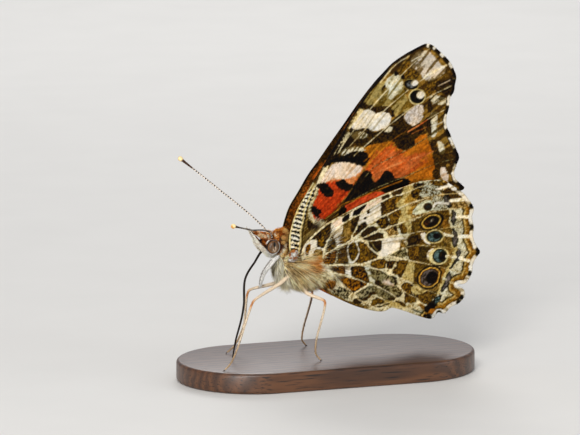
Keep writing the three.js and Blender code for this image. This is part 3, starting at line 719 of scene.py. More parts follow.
# Marks of the forewing's underside: kind of scales, softness, outline
FORE_MARKS = rows_of("""
buff 1.2 0,-0.1 0.4,1.3 0.6,3.2 0.9,4.8 1.6,5.8 2,6.9 1.8,5.9 1.6,4.6 1.9,3.8 2.9,3.4 4.1,3.7 5.5,4.6
 6.6,5.4 6,4.3 4.2,3 2,1.7 1,0.3;
tan_streak 1.2 11.3,20.3 12.5,21.6 14.4,22.8 16.5,23.6 18.1,22.7 19.5,21 20,19.3 19.5,17.4 19.2,16 18.9,14.9
 18.2,14.9 16.8,16.2 16.1,16.7 14.9,16.8 13.6,17.8 13.1,19.2;
olive 1.2 8.2,17 9.2,18.4 10.2,19.5 11.3,19.8 12.9,19.2 13.6,18.5 14.1,17.3 14.6,16.8 14,15.9 12.9,15.3
 12.3,15.9 11.8,16.4 10.9,16.5 10.2,16.2 9.4,16.7;
brown_dark 1 6.8,14.3 7.1,14.8 8.3,14.5 9.5,14.2 10.1,13.8 11.6,14.2 12,14.9 12.9,15.5 13.6,15.3 14.2,14.4
 15,14.2 16.1,14.7 16.6,13.8 15.7,13.2 15.3,12.6 15.1,11.9 13.6,11.3 12.9,11.6 12.5,12.4 11.7,12.6 10.5,12.2
 9.3,12 8.1,12.2 7.1,12.7 6.7,13.5;
tan_streak 1 16.1,16.4 16.8,16.2 18.2,14.9 18.9,14.6 18.9,13.8 19.5,12.6 19.9,11.4 20.4,10.4 20.4,9.5 20,8.7
 19.9,7.6 19.5,7.4 18.6,7.5 17.6,7.9 17.6,9.6 17.2,11 16.8,12.2 16.6,13.1 16.3,13.8 16,14.7;
amber 0.9 8.2,11.8 9.2,12.3 10.3,12.4 11.4,12.5 12,12.6 12.6,12 12.1,11.5 10.8,11 9.8,10.2 9,9.4 8.7,9.7
 9.1,10.8 8.8,11.4;
orange 0.8 11.8,12.2 12.8,11.7 13.6,11.3 14.3,11.5 15,11.9 15.2,12.7 15.7,13 16.5,13.2 16.8,12 17.2,10.8
 17.6,9.6 17.4,8.6 17.3,7.9 16.2,7.6 14.5,7.5 13.7,8.2 12.4,9.2 12.1,10.6;
salmon 4 8.7,9.4 9.5,10.5 10.7,11.5 12,11.9 12.7,11.5 13.6,11 14.8,10.9 16.1,11 16.6,10.4 15.3,9.4 14.1,8.6
 13,7.8 11.5,7.6 10,7.7 9.3,8.4;
salmon_light 1.5 2.7,7.6 3.1,8.6 3.9,9.1 5.2,8.9 6.7,9 7.7,9.6 8.6,9.9 8.3,9.3 7.6,8.6 6.7,7.6 5.9,6.7
 4.9,7.1 3.9,7.8;
red 1.2 2.6,7.5 2,6.7 1.8,5.8 1.7,4.9 2.2,4.1 2.8,3.9 3.4,4.2 4.3,4.8 5,5.5 5.8,6.2 6.4,6.8 6.7,7.6 6.4,8.1
 5.4,8.3 4.4,8.3 3.4,8.3;
pale 0.7 2.8,8 2.4,7.5 2,6.7 1.6,5.7 1.5,4.8 1.7,4.2 2.3,3.5 3.2,3.1 3.8,3.5 3,3.6 2.3,3.9 1.9,4.6 1.9,5.7
 2.3,6.6 2.7,7.4;
brown_dark 0.6 1.4,3.9 1.7,3.9 2.1,3.4 2.6,2.8 2.2,2.7 1.6,2.9 1.3,3.5;
pinkwhite 1.3 3,8.2 3.4,9.1 4,9.9 4.6,10.4 5.7,10.7 6.7,10.6 7.6,10.3 8.2,9.9 8.2,9.5 7.6,9 6.7,8.7 5.6,8.6
 4.6,8.7 3.7,8.4;
cream 0.5 2,7.4 2.6,8.3 3.1,9.4 3.6,10.3 4,10.3 3.5,9.4 3,8.5 2.4,7.7 2.1,7.3;
black 0.5 1.8,5.5 2.1,5.7 2.5,5.4 3,5.1 3.1,4.8 2.7,4.6 2.8,4.3 2.4,4.4 2.2,4.8 1.9,5.1;
black 0.5 2.7,8.1 3.1,8.3 3.7,8.2 4.2,7.7 4.6,7.3 4.6,6.9 4.2,6.6 3.7,6.7 3.2,7.1 2.9,7.6 2.6,7.9;
black 0.5 4.8,8.2 5.6,8.5 6,8.5 6.4,8 7,7.9 6.8,7.4 6.3,7.2 5.8,7.3 5.4,7.5;
red_deep 0.8 6,5.5 7.1,5.9 8.7,6.5 10.3,6.9 11.2,6.6 10.6,6.3 9.2,6 8,5.6 6.9,5 6.2,4.7;
black 0.6 5.5,5.3 5.9,5.4 6.2,5.1 6,4.6 5.5,4.3 5.1,4.7;
black 0.6 8.5,9.2 9,9.3 9.4,9.1 9.5,8.3 9.7,7.9 10.1,7.9 10.5,8.3 10.8,8.8 11.2,9.2 11.7,9.1 12.1,8.7
 12.3,8.2 13,8.2 13.9,8.1 14.6,7.6 13.4,7.2 12.2,6.9 11.1,6.6 10.3,7.1 8.7,6.7 7.4,6.3 6.4,6.1 5.9,5.7
 6.1,6.2 6.8,7.1 7.6,8.2;
black 0.7 2.9,10.3 3.3,10.7 3.9,11.1 4.6,11.3 5.8,11.4 6.7,11.7 7.5,11.8 8.3,11.8 8.9,11.3 9.1,10.9 8.9,10.4
 8.4,9.9 7.7,10.2 6.7,10.5 5.7,10.6 4.7,10.7 4.1,10.4 3.5,10.2;
brown_dark 0.9 3.2,11 4.2,12 4.8,12.6 5.3,12.2 6,11.7 5.5,11.3 4.3,11.1 3.7,10.7;
bar_streak 0.6 4.2,11.8 4.8,12.7 5.6,13.7 6.4,14.1 7,13.8 7.3,13.4 7,12.8 6.3,12.2 5.5,11.8 4.8,11.4;
greywhite 0.8 5.5,11.6 6.2,12.1 7.1,12.2 8.1,12.2 8.8,11.8 8.3,11.7 7.5,11.8 6.7,11.6 5.9,11.3;
greywhite 0.6 6.9,13.8 7.7,14 8.6,13.8 9.2,13.4 8.3,13.2 7.3,13.3;
greywhite 0.6 11.1,14.1 11.8,14.4 12.3,14.1 12,13.7 11.3,13.7;
white_streak 0.9 6.9,14.6 7.4,15.2 8.2,16.3 8.8,16.5 9.5,16.4 10.2,16 10.9,16.1 11.6,16.1 12.1,15.7
 12.1,15.3 11.8,14.7 11.4,14.3 10.6,14 10.1,13.8 9.6,14.2 8.8,14.4 7.9,14.3 7.3,14.3;
cream_streak 0.6 6.4,14.5 6.9,15.3 7.7,16.2 8.3,16.9 8.7,16.7 8.2,16 7.4,15.1 6.9,14.4;
brown_dark 0.8 7.9,16.9 8.4,17.4 8.9,17.3 9.4,16.8 9,16.5 8.4,16.6;
brown_dark 0.6 8.9,16.9 9.5,17 10.2,16.6 11,16.8 11.9,16.7 12.4,16.1 12.5,15.4 12.1,15.4 11.9,15.9 11,16.2
 10.2,16 9.5,16.4;
lilac 0.8 13.6,15.3 14,15.8 14.5,16.2 15.1,16.6 15.6,16.7 16,16.5 16.1,16 16,15.3 15.6,14.7 14.8,14.3
 14.3,14.5 13.9,14.9;
brown_dark 0.8 12.8,15.4 13.5,15.9 13.7,15.9 13.6,15.3 14,14.6 14.7,14.2 13.7,14.1 12.9,14.6;
white_green 0.9 11.2,19.4 11.6,20 12,20.3 12.5,20.5 13,20.3 13.5,19.7 13.6,19 13.3,18.5 12.6,18 12,17.5
 11.6,17.7 11.8,18.6 11.4,19;
brown 0.7 13.3,21 13.7,21.7 14.2,22 14.5,21.6 14.5,21 15.1,20.7 15.4,20.1 14.9,19.8 14.1,19.7 13.6,20
 13.1,20.5;
black 0.4 12.5,20.7 12.8,20.7 13,20.5 12.7,20.3 12.5,20.4;
black 0.4 13.3,20.4 13.6,20.2 13.6,19.8 13.3,20;
brown_dark 0.4 10.8,18.9 11.2,19.2 11.4,19.1 11.2,18.8 10.9,18.6;
apex 1 14.5,21.3 14.5,22.1 15,22.6 15.6,22.9 16.5,23.1 17.2,22.5 18.1,21.5 18.8,20.9 18.8,20.5 18.1,19.9
 17.1,19.5 16.2,19.6 15.7,20.3 15.2,20.9;
brown_dark 0.9 17.3,19 18.1,19.4 19.1,19.4 19.8,19.8 20,18.8 19.7,17.9 19.1,17.8 18.2,17.9 17.6,18;
brown 0.8 16.1,18.3 16.5,19 17.2,19.3 17.7,18.9 17.3,18.1 16.8,17.6 16.3,17.5;
greywhite 0.8 16.9,17.6 17.6,17.7 18.4,17.4 19.2,17.1 19.1,16.7 18.3,16.6 17.6,16.7 17.1,17;
brown_dark 0.7 16.8,17.3 17.1,16.9 17.2,16.1 16.9,15.6 16.6,16.2 16.7,16.8;
greywhite 0.8 17,15.6 17.6,15.7 17.9,15.4 17.9,14.7 17.7,14.2 17.8,13.5 17.6,12.8 17.1,12.8 17,13.4 17,14.3
 17,15;
tan_streak 0.9 17.9,15.6 18.4,15.5 18.4,14.8 18.6,14.2 18.8,13.7 18.3,13 17.9,13.4 18.1,14.1 17.9,14.8;
brown_dark 0.8 16.2,14.7 16.6,15.2 17,14.9 17.1,13.9 17,13 16.6,13.5 16.3,14.1;
black_soft 0.9 17,12.5 17.6,12.4 17.8,11.5 18.2,10.7 18.9,10.6 19.9,11.1 20.5,10.3 20.4,9.5 19.5,8.9
 18.6,8.8 17.7,9.1 17.5,10 17.3,11.2;
greywhite 0.7 17.9,12.2 18.3,12.2 18.6,11.8 18.8,11.3 18.6,10.8 18.3,10.8 18.1,11.3;
tan_streak 0.8 18.5,12.7 19,12.8 19.2,12.2 19.5,11.5 19.6,11 19.2,10.8 18.9,11.5 18.7,12.1;
black_soft 0.7 17.3,8.8 17.8,9 18.3,8.7 18.3,8.1 17.8,7.8 17.3,8;
pinkwhite 0.7 18.3,9.1 18.9,9.2 19,8.5 19.4,8.4 19.3,7.9 19.1,7.3 18.6,7.4 18.4,8.1;
tan_streak 0.8 18.9,9.6 19.5,9.5 19.5,8.7 19.7,7.9 19.9,7.2 19.3,7.3 19.4,8.2;
amber 0.6 14.3,7.6 15.6,7.8 16.8,7.9 17.6,7.9 17.2,7.5 15.6,7.3 14.5,7.3;
""")
# Lines of the forewing's underside: kind of scales, half width, strength, path
FORE_LINES = rows_of("""
cream 0.05 0.85 5.4,12 9.5,16.6 13.4,20.4 17.2,23.6;
cream 0.05 0.85 6.1,11.8 10.5,15.7 15,19.1 19.4,21.5;
cream 0.05 0.8 7.2,11.2 11.8,14.5 16,17.2 20,18.9;
amber 0.05 0.7 8.5,10.5 12.5,12.9 14,13.7;
salmon_light 0.08 0.9 14.2,13.6 15.6,14.3 16.6,14.9;
cream 0.05 0.8 16.6,14.9 18,15.6 19.3,16.2;
mottle_grey 0.05 0.9 8.6,8.7 10.2,10 13.8,11.4 19,14;
salmon_light 0.09 0.9 10.6,9.2 12.3,9.8 15.6,10.6 17.3,11.1;
mottle_grey 0.05 0.9 6.3,5.9 10.1,7.3 14.1,8.5 17.8,9.6 20.6,10.2;
brown_dark 0.07 0.9 0.2,0.1 3.4,3.3 6.3,5.9 8.6,8.7;
amber 0.06 1 5,5 5.6,5.6 6.9,6 8.5,6.5 10.8,7.2 13.3,7.9;
brown_dark 0.2 0.6 1.7,8 2.7,9.6 3.5,10.6;
black 0.2 1 3.5,10.6 4.7,12.2 5.6,13.5 6.3,14.5 6.9,15.5 7.6,16.4 8.2,17.2 9.4,18.7 10.7,20 11.9,21.4
 13.1,22.3 14.4,22.9 15.6,23.5 16.6,23.8;
cream 0.06 0.9 10.7,19.6 11.8,20.8 12.8,21.7 14.2,22.5;
""")
FORE_GLEAMS = rows_of("""
bright 0.15 0.9 14.6,21.9 15.4,22.3 16.2,22.5;
bright 0.08 0.9 15.2,21 16.1,21.4 17,21.8;
bright 0.15 1 16.1,19.9 16.8,20.3 17.8,20.7 18.9,21.1;
greywhite 0.2 0.8 16.7,19.5 17.7,19.8 18.6,20.2;
pinkwhite 0.13 1 17.9,18.8 18.7,19.1 19.4,19.4;
white 0.11 1 17.1,14.1 17.7,14.2 18.5,14.5;
bright 0.12 1 18.1,11.3 18.5,11.4 18.7,11.5;
gold 0.12 0.9 18.7,11.5 19.4,11.7;
bright 0.1 0.9 18.3,8.5 18.8,8.6 19.2,8.5;
bright 0.11 0.9 17.2,17.3 17.7,17.4 18.1,17.6;
gold 0.08 0.9 18.1,16.9 18.6,17 19.1,17.3;
white 0.11 0.9 17.3,16.7 17.7,16.9 18.1,17;
salmon_light 0.1 0.9 14.7,13.3 15.4,13.6 16,13.8 16.5,14;
salmon_light 0.1 0.9 13.1,9.9 14.3,10.2 15.6,10.5 17,10.9;
gold 0.09 0.9 15.6,7.7 16.4,7.8 17.2,8;
""")
# The two pale lines behind the front edge, the dark line beside the second one, and a last brown one
COSTA_LINES = rows_of("""
ring_pale 0.11 1 -0.4,0.1 -0.85,0.6 -0.85,1.8 -0.7,3 -0.4,3.9 -0.1,4.7 0.3,5.6 0.8,6.5 1.4,7.3 2.1,8.3;
ring_pale 0.08 1 0.1,0.3 0.4,1.7 0.5,2.9 0.8,4.1 0.9,5 1.3,6.1 1.7,6.9 2,7.6 2.3,8.2;
black 0.06 0.8 0.37,0.3 0.67,1.7 0.77,2.9 1.07,4.1 1.17,5 1.57,6.1 1.97,6.9 2.27,7.6 2.57,8.2;
brown_dark 0.05 0.6 0.9,1.6 1.2,3 1.6,4.6 2.1,6.1 2.7,7.4;
""")
# Marks and lines of the hindwing's underside
HIND_MARKS = rows_of("""
field 0.8 12.9,3.7 13.85,4.04 15.37,4.52 16.74,4.85 18.1,4.94 18.22,4.17 18.03,3.36 18.22,2.64 18.28,1.46
 18.4,0.45 18.9,0.01 18.65,-0.8 18.47,-1.5 17.91,-2.11 17.66,-2.75 17.42,-3.56 16.98,-4.3 16.61,-4.86
 16.24,-5.31 15.74,-5.81 15.19,-6.25 14.37,-5.95 13.86,-5.51 13.42,-4.94 13.22,-4.1 13.28,-3.16 13.46,-1.29
 12.7,-0.82 12.51,0.2 12.51,1.84 12.96,2.52;
mottle_pale 1.2 12.12,7.03 12.88,7.8 13.63,7.93 14.88,8.02 16.61,8.03 17.85,7.61 18.84,6.96 19.58,6.32
 20.19,5.46 19.58,5.03 18.59,5.09 17.48,4.98 16.11,4.77 14.11,4.32 13.1,4.03 12.35,4.91 11.98,5.99;
white 0.6 -0.39,0.51 -0.46,1.37 -0.33,1.97 0.19,2.43 0.8,2.45 1.17,2.19 1.2,1.77 1.63,1.45 1.93,1.14
 1.35,1.22 0.95,1.17 0.74,0.81 0.71,0.33 0.94,-0.27 0.57,-0.72 -0.15,-0.69;
mottle_orange 0.5 -0.21,1.59 -0.11,1.83 0.19,1.98 0.39,1.87 0.38,1.62 0.24,1.26 0.22,0.83 0.08,0.35
 -0.1,0.73 -0.24,1.17;
mottle_pale 0.7 0.82,0.93 1,1.2 1.47,1.21 1.87,1.08 1.83,0.6 1.78,0.07 1.61,-0.28 1.22,-0.33 0.88,0.08;
root_orange 1.2 1.16,0.43 1.61,0.55 1.81,0.25 1.67,-0.28 1.16,-0.51 0.74,-0.78 0.4,-0.71 0.82,-0.27;
mottle_dark 0.5 0.49,2.57 1.03,3.06 1.59,3.49 2.27,3.97 2.77,4.29 2.86,4.04 2.64,3.88 2.8,3.63 2.74,3.28
 2.55,2.94 2.42,2.62 2.22,2.28 2.06,1.91 2,1.52 1.62,1.51 1.33,1.58 1.12,1.89 1.17,2.31 1.01,2.64 0.67,2.53;
mottle 0.9 1.22,2.73 1.53,3.12 2.02,3.44 2.45,3.54 2.27,3.13 2.21,2.67 2.02,2.21 1.85,1.68 1.44,1.7
 1.21,2.13;
mottle 0.5 2.74,2.75 3.13,2.88 3.07,2.62 3.33,2.25 3.45,1.91 3.45,1.61 3.26,1.4 2.89,1.19 2.52,1.02
 2.19,0.94 2.24,1.37 2.36,1.83 2.54,2.29;
white 0.7 2.82,3.04 2.95,3.68 2.83,4.1 3.14,4.43 3.64,4.66 4.2,4.86 4.26,4.54 4.32,4.26 4.76,4.32 4.34,3.83
 4.29,3.36 3.96,2.8 3.81,2.22 3.7,1.63 3.53,1.61 3.5,2 3.32,2.36 3.17,2.73 3.26,2.96;
pinkwhite 1 3.14,4.4 3.64,4.69 4.14,4.87 4.14,4.55 4.26,4.23 3.76,3.98 3.38,3.83 3.14,4.02;
mottle_orange 0.6 2.2,0.51 2.64,0.75 3.13,0.99 3.38,1.07 3.42,0.71 3.38,0.18 3.29,-0.28 3.01,-0.48
 2.53,-0.48 2.01,-0.43 1.98,-0.05 2.03,0.36;
tan 0.6 4.36,3.97 4.76,4.27 5.26,4.54 5.89,4.8 6.44,5 6.39,4.57 6.14,4.12 5.81,3.5 5.5,2.99 5.31,2.71
 5.24,2.36 4.74,1.99 4.25,1.74 3.8,1.7 3.9,2.09 3.84,2.45 3.95,2.8 4.25,3.13 4.34,3.59;
brown_dark 1 5.32,4.29 5.89,4.72 6.4,4.93 6.34,4.55 6.05,4.03 5.71,3.42 5.41,3.02 5.33,3.53 5.44,3.93;
mottle_dark 0.5 6.15,3.51 6.31,3.86 6.7,4.21 7.15,4.37 7.33,4.15 7.39,3.88 7.14,3.64 6.76,3.35 6.5,3.18
 6.13,3.28;
mottle_dark 0.4 5.48,2.5 5.8,2.97 6,3.23 6.46,3.11 6.15,2.83 5.81,2.58;
dark 0.4 6.52,2.67 6.75,3.02 7.11,3.35 7.52,3.57 8.02,3.63 8.6,3.49 8.69,3.24 8.55,3.06 8.01,2.92 7.38,2.67
 6.94,2.47 6.75,2.41 6.6,2.58;
dark 0.4 6.72,2.19 7.25,2.41 7.89,2.6 8.39,2.74 8.9,2.79 9.36,2.63 9.44,2.3 9.35,2.05 8.89,2.04 8.39,2
 7.75,1.99 7.12,2.05;
dark 0.4 7.48,1.83 7.88,1.88 8.51,1.84 9.15,1.85 9.3,1.73 9.3,1.4 9.17,1.04 9.07,0.71 8.75,0.52 8.38,0.59
 8.04,0.95 7.75,1.31;
mottle 0.5 5.49,1.86 5.24,1.74 5.02,1.44 4.98,0.97 5.04,0.49 5.16,0.06 5.41,-0.3 5.62,-0.22 5.87,0.01
 6.1,0.42 6.19,0.83 6.08,1.21 5.94,1.52 5.74,1.82;
brown 0.6 3.75,0.9 3.87,1.22 4.18,1.41 4.64,1.69 4.75,1.55 4.74,1.22 4.79,0.68 4.86,0.09 4.95,-0.52
 4.24,-0.51 3.59,-0.49 3.69,-0.13 3.81,0.21 3.65,0.61;
brown 0.5 6.17,1.79 6.77,1.78 7.21,1.5 7.5,1.15 7.84,0.8 8.25,0.44 8.66,0.13 8.51,-0.11 7.82,-0.31
 7.04,-0.58 6.61,-0.64 6.02,-0.55 5.96,-0.37 6.16,-0.09 6.3,0.29 6.39,0.67 6.38,0.99 6.27,1.4;
greywhite 1 1.6,-0.8 2.29,-0.76 2.89,-0.81 2.89,-1.26 2.52,-1.47 1.81,-1.16;
mottle_orange 0.6 2.64,-1.07 3.26,-0.86 3.75,-0.85 4.37,-0.93 4.52,-1.12 4.58,-1.42 4.58,-1.75 4.18,-1.82
 3.87,-1.64 3.38,-1.43 3.01,-1.29;
white 0.6 4.68,-0.9 5.24,-0.97 5.3,-1.35 5.28,-1.82 5.49,-2.13 4.99,-1.98 4.62,-1.81 4.55,-1.48 4.68,-1.25;
mottle_dark 0.6 5.36,-1.04 5.89,-0.99 6.74,-1.01 7.12,-1.32 7.32,-1.82 7.45,-2.3 7.6,-2.75 7.6,-3.02
 7.13,-2.98 6.5,-2.7 5.87,-2.42 5.49,-2.15 5.32,-1.77 5.28,-1.41;
mottle_orange 1.2 5.61,-1.43 6.37,-1.3 6.87,-1.63 7.19,-2.25 7.26,-2.78 6.5,-2.49 5.87,-2.1;
white_green 0.6 6.98,-0.93 7.33,-1.16 7.61,-1.5 7.89,-1.98 8,-2.36 8.32,-2.73 8.34,-3.06 8.18,-3.31
 7.63,-3.24 7.66,-2.68 7.52,-2.15 7.31,-1.62 7.09,-1.27;
mottle_orange 0.6 3.6,-2.13 3.94,-2.07 4.62,-2.24 5.24,-2.34 5.87,-2.56 6.5,-2.78 7.28,-3.14 7.01,-3.44
 6.51,-3.64 6.01,-3.84 5.63,-4.06 5.32,-4.01 5,-3.71 4.62,-3.28 4.19,-2.9 3.81,-2.45;
mottle_orange 0.8 2.12,-2.8 2.33,-2.46 2.76,-2.29 3.26,-2.38 3.53,-2.52 3.45,-2.89 3.51,-3.18 3.32,-3.49
 2.89,-3.52 2.52,-3.44 2.15,-3.3 2.02,-3.03;
cream 0.6 3.58,-2.66 3.95,-2.9 4.33,-3.22 4.66,-3.59 4.31,-3.44 3.94,-3.38 3.77,-3.67 3.38,-3.66 3.01,-3.58
 3.38,-3.41 3.5,-3.07;
speckle 0.8 2.95,-3.66 3.63,-3.62 4,-3.36 4.44,-3.49 4.83,-3.86 5.11,-4.29 5.04,-4.66 4.77,-4.83 4.2,-4.61
 3.57,-4.27 3.01,-3.9;
speckle 0.7 5.92,-4.29 6.32,-4.01 7.01,-3.87 7.55,-3.44 8.55,-3.79 8.66,-4.27 8.36,-4.53 8.01,-4.57
 7.58,-4.87 7.28,-5.12 6.94,-5.15 6.31,-4.65;
black_soft 0.6 7.69,-4.34 8.15,-4.17 8.57,-4.33 8.35,-4.58 7.97,-4.57 7.6,-4.87 7.33,-5.09 6.85,-5.12
 6.78,-4.9 7.34,-4.86;
pale 0.9 4.95,-4.64 5.2,-4.3 5.7,-4.69 5.39,-4.96 5.12,-4.98;
tan 1 2.02,-3.39 2.76,-3.85 3.76,-4.5 4.89,-5.05 6.15,-5.43 7.55,-5.88 7.55,-6.18 6.16,-5.85 4.65,-5.21
 3.14,-4.46 2.15,-3.69;
brown_dark 0.7 5.47,-5.18 5.77,-4.89 6.14,-4.8 6.68,-5.17 6.47,-5.43 5.78,-5.39;
pale 0.7 7.47,-5.17 7.97,-4.7 8.41,-4.56 8.9,-4.93 9.69,-5.5 10.08,-5.79 9.06,-5.65 8.56,-5.78 7.8,-5.76;
brown 0.6 7.85,-5.61 8.07,-5.27 8.42,-5.03 8.77,-4.99 9.18,-5.22 9.62,-5.45 9.8,-5.6 9.06,-5.57 8.56,-5.73
 7.93,-5.76;
mottle_grey 0.5 7.6,-1.39 8.25,-1.55 8.88,-1.79 9.73,-2.19 10.71,-2.66 11.07,-2.81 11.2,-3.21 11.17,-3.53
 11.04,-3.71 11.45,-3.94 11.81,-4.3 12.06,-4.72 11.81,-4.97 11.37,-5.14 11.14,-5.09 10.71,-4.73 10.16,-4.42
 9.58,-4.05 8.88,-3.61 8.35,-3.18 8.35,-2.76 8,-2.45 7.86,-2.05 7.7,-1.65;
brown_dark 1 10.8,-2.74 11.1,-2.84 11.2,-3.21 11.15,-3.54 10.94,-3.46 10.93,-3.05;
brown_dark 1.2 8.36,-2.8 8.65,-2.82 8.9,-3.26 9.22,-3.63 8.88,-3.6 8.37,-3.21;
brown_dark 1 12,-4.64 12.04,-4.79 11.81,-4.97 11.37,-5.13 11.12,-5.04 11.46,-4.92 11.77,-4.8;
pinkwhite 2 9.28,-3.05 9.85,-2.97 10.43,-3.25 10.68,-3.56 10.18,-3.59 9.54,-3.36;
mottle_grey 0.6 7.55,-3.41 8.32,-3.58 8.9,-3.82 9.6,-4.19 10.17,-4.58 10.9,-5.08 10.91,-5.24 10.68,-5.41
 10.32,-5.38 9.76,-5.15 9.05,-4.84 8.63,-4.48 8.48,-4.07;
brown_dark 0.9 10.01,-5.21 10.38,-5.13 10.83,-5.07 10.89,-5.24 10.67,-5.4 10.32,-5.37;
pale_band 0.9 9.56,-5.38 10.33,-5.55 11.21,-5.56 11.98,-5.97 12.61,-6.31 11.86,-6.37 10.84,-6.06 9.82,-5.87;
brown 0.6 10.96,-5.51 11.53,-5.59 12.33,-6.1 12.16,-6.22 11.6,-5.91;
white_streak 0.7 9.31,2.02 10.15,2.04 11.42,2.02 12.27,1.89 12.5,1.68 12.35,1.5 11.98,1.32 11.56,0.97
 11.05,0.67 10.41,0.33 10.07,0.07 9.43,-0.05 9.01,-0.18 8.85,0.16 9.03,0.55 9.24,0.93 9.31,1.46;
tan 1.6 11.56,1.27 11.88,1.54 12.07,1.35 12.38,1.44 12.32,1.03 11.81,0.84 11.49,0.91;
mottle_grey 0.6 10.26,0.07 10.84,0.23 11.42,0.44 11.98,0.55 12.34,0.53 12.42,0.18 12.33,-0.23 11.98,-0.42
 11.56,-0.36 11.14,-0.19 10.64,-0.07;
brown 0.6 12.54,0.43 12.69,0.77 13.42,0.8 14.02,0.7 14.18,0.24 14.11,-0.24 13.88,-0.71 13.42,-0.79
 12.83,-0.78 12.6,-0.47 12.67,-0.05;
pale 0.8 9.65,-0.24 10.28,-0.2 11.18,-0.59 11.37,-0.78 11.15,-1.29 10.8,-1.74 10.48,-2.15 9.78,-1.84
 9.59,-1.47 9.71,-0.89;
mottle_dark 0.5 9.8,-0.96 9.99,-0.74 10.41,-0.66 10.83,-0.74 10.72,-1.06 10.59,-1.37 10.34,-1.53 10,-1.46
 9.83,-1.21;
brown 0.6 7.65,-0.84 8.03,-0.61 8.74,-0.39 9.43,-0.31 9.66,-0.47 9.74,-0.87 9.66,-1.21 9.23,-1.5 8.74,-1.4
 8.03,-1.22;
brown 0.5 11.28,-0.81 11.68,-0.67 12.12,-0.78 12.56,-0.94 12.42,-1.33 12.28,-1.71 12.13,-2.1 11.93,-2.47
 11.57,-2.66 11.35,-2.56 11.21,-2.35 10.57,-2.18 10.67,-1.91 10.85,-1.73 11.14,-1.35 11.16,-0.99;
brown_dark 0.9 11.31,-2.37 11.63,-2.27 11.88,-2.42 11.69,-2.62 11.37,-2.59;
pale_band 0.6 12.69,-0.97 13.46,-1.06 13.34,-1.51 13.3,-2.05 13.28,-2.57 13.29,-3.28 13.24,-3.51 12.48,-3.1
 11.87,-2.73 12.15,-2.23 12.34,-1.71 12.56,-1.34;
pale 0.8 11.12,-2.89 11.7,-3.22 11.95,-3.54 11.83,-3.88 12.21,-4.5 12.16,-5.21 11.72,-5.53 11.08,-5.31
 11.71,-5.12 12.15,-4.74 11.83,-4.24 11.38,-3.85 11.13,-3.66 11.25,-3.25;
brown 0.6 11.85,-3.53 12.28,-3.41 12.7,-3.44 13.21,-3.73 13.35,-4.02 13.14,-4.4 13.08,-4.79 13.42,-5.2
 13.72,-5.67 13.79,-5.9 13.35,-6 12.86,-5.97 12.36,-5.86 12.23,-5.65 12.3,-5.33 12.35,-4.99 12.28,-4.66
 12,-4.18 11.8,-3.85;
pale_band 1 13.35,-3.72 13.8,-3.9 14.41,-4.28 14.95,-4.59 14.87,-4.81 14.55,-5 14.11,-4.89 13.67,-4.94
 13.2,-4.62 13.14,-4.33;
brown 0.6 13.74,-5.14 14.11,-4.96 14.7,-5 15.07,-4.68 15.74,-4.87 16.49,-5.17 16.03,-5.5 15.74,-5.83
 15.45,-6.09 15.22,-6.28 14.86,-6.11 14.42,-5.96 14.04,-5.58;
pale 0.8 12.42,-5.96 13.24,-6 13.82,-5.78 14.2,-6.06 14.37,-6.37 14.53,-6.73 14,-6.93 13.25,-6.71
 12.74,-6.32;
warm 1.2 14.18,-6.12 14.56,-6.2 14.87,-6.52 14.81,-6.81 14.5,-6.67;
pinkwhite 0.9 6.47,5.38 6.6,5.67 7.04,5.89 7.36,6.18 7.68,6.35 8.45,6.57 9.21,6.85 9.4,6.7 9.2,6.44
 8.57,6.23 7.8,5.93 7.04,5.58;
white 0.6 5.18,4.85 5.34,5.23 5.34,5.52 5.72,5.66 5.65,5.32 5.56,5.04;
white_streak 0.7 6.35,4.46 6.53,5.03 6.97,5.35 7.35,5.62 7.8,5.7 8.44,6.01 9.07,6.17 9.11,5.61 9.14,5.26
 9.05,4.74 8.73,4.49 8.41,4.25 7.77,3.95 7.39,3.81 7.27,4.22 6.77,4.25 6.45,4.02 6.22,3.96;
white_green 1 7.33,3.86 7.77,3.97 8.41,4.17 8.49,3.96 8.66,3.77 9.01,3.57 9.03,3.1 8.71,3 8.71,3.29
 8.59,3.54 8.02,3.67 7.52,3.61;
white_green 0.9 9.93,4.5 10.12,4.42 10.28,4.12 10.24,3.77 10.07,3.43 9.88,3.18 9.95,3.56 10.08,3.9 10,4.19;
white_green 0.9 11.13,3.41 11.48,3.54 11.5,3.03 11.6,2.67 11.82,2.42 11.35,2.34 11.17,2.88;
black_soft 0.4 9.27,6.94 9.53,7.1 10.04,7.18 10.2,6.94 10.09,6.77 9.58,6.69 9.37,6.64;
black_soft 0.4 10.63,7.08 10.61,7.32 10.73,7.42 11.31,7.63 12,7.75 12.07,7.56 11.87,7.4 11.61,7.19
 11.11,7.11 10.85,7.03;
brown 0.5 9.11,6.23 9.71,6.38 10.34,6.69 10.98,6.88 11.86,6.95 11.91,6.81 11.81,6.53 11.55,6.25 11.3,6.09
 11.04,5.87 10.91,5.76 11.16,5.63 11.39,5.5 10.96,5.31 10.32,5.07 9.68,4.88 9.1,4.73 9.18,5.14 9.12,5.55
 9.42,5.7 9.22,5.95;
mottle_dark 0.8 9.13,6.19 9.64,6.35 9.64,6.1 9.38,5.82 9.19,5.84;
mottle 0.6 8.47,4.02 8.79,4.3 9.24,4.51 9.76,4.59 9.83,4.39 10,4.14 10.07,3.9 9.93,3.56 9.87,3.26 9.54,3.17
 9.07,3.19 9.01,3.63 8.66,3.81;
brown_dark 0.9 9.43,4.51 9.78,4.58 10.01,4.2 10.05,3.9 9.87,3.29 9.73,3.46 9.84,3.98 9.68,4.28;
brown 0.6 10.06,4.72 10.57,4.93 11.08,5.13 11.6,5.33 11.83,5.12 11.72,4.78 11.53,4.5 11.34,4.16 11.21,3.82
 11.21,3.68 10.68,3.6 10.07,3.48 10.24,3.83 10.28,4.12 10.12,4.45;
mottle_pale 0.8 9.61,2.94 9.92,3.1 10.68,3.34 11.01,3.37 11.07,3.07 11.2,2.7 11.32,2.4 10.29,2.29 9.98,2.37
 9.85,2.68;
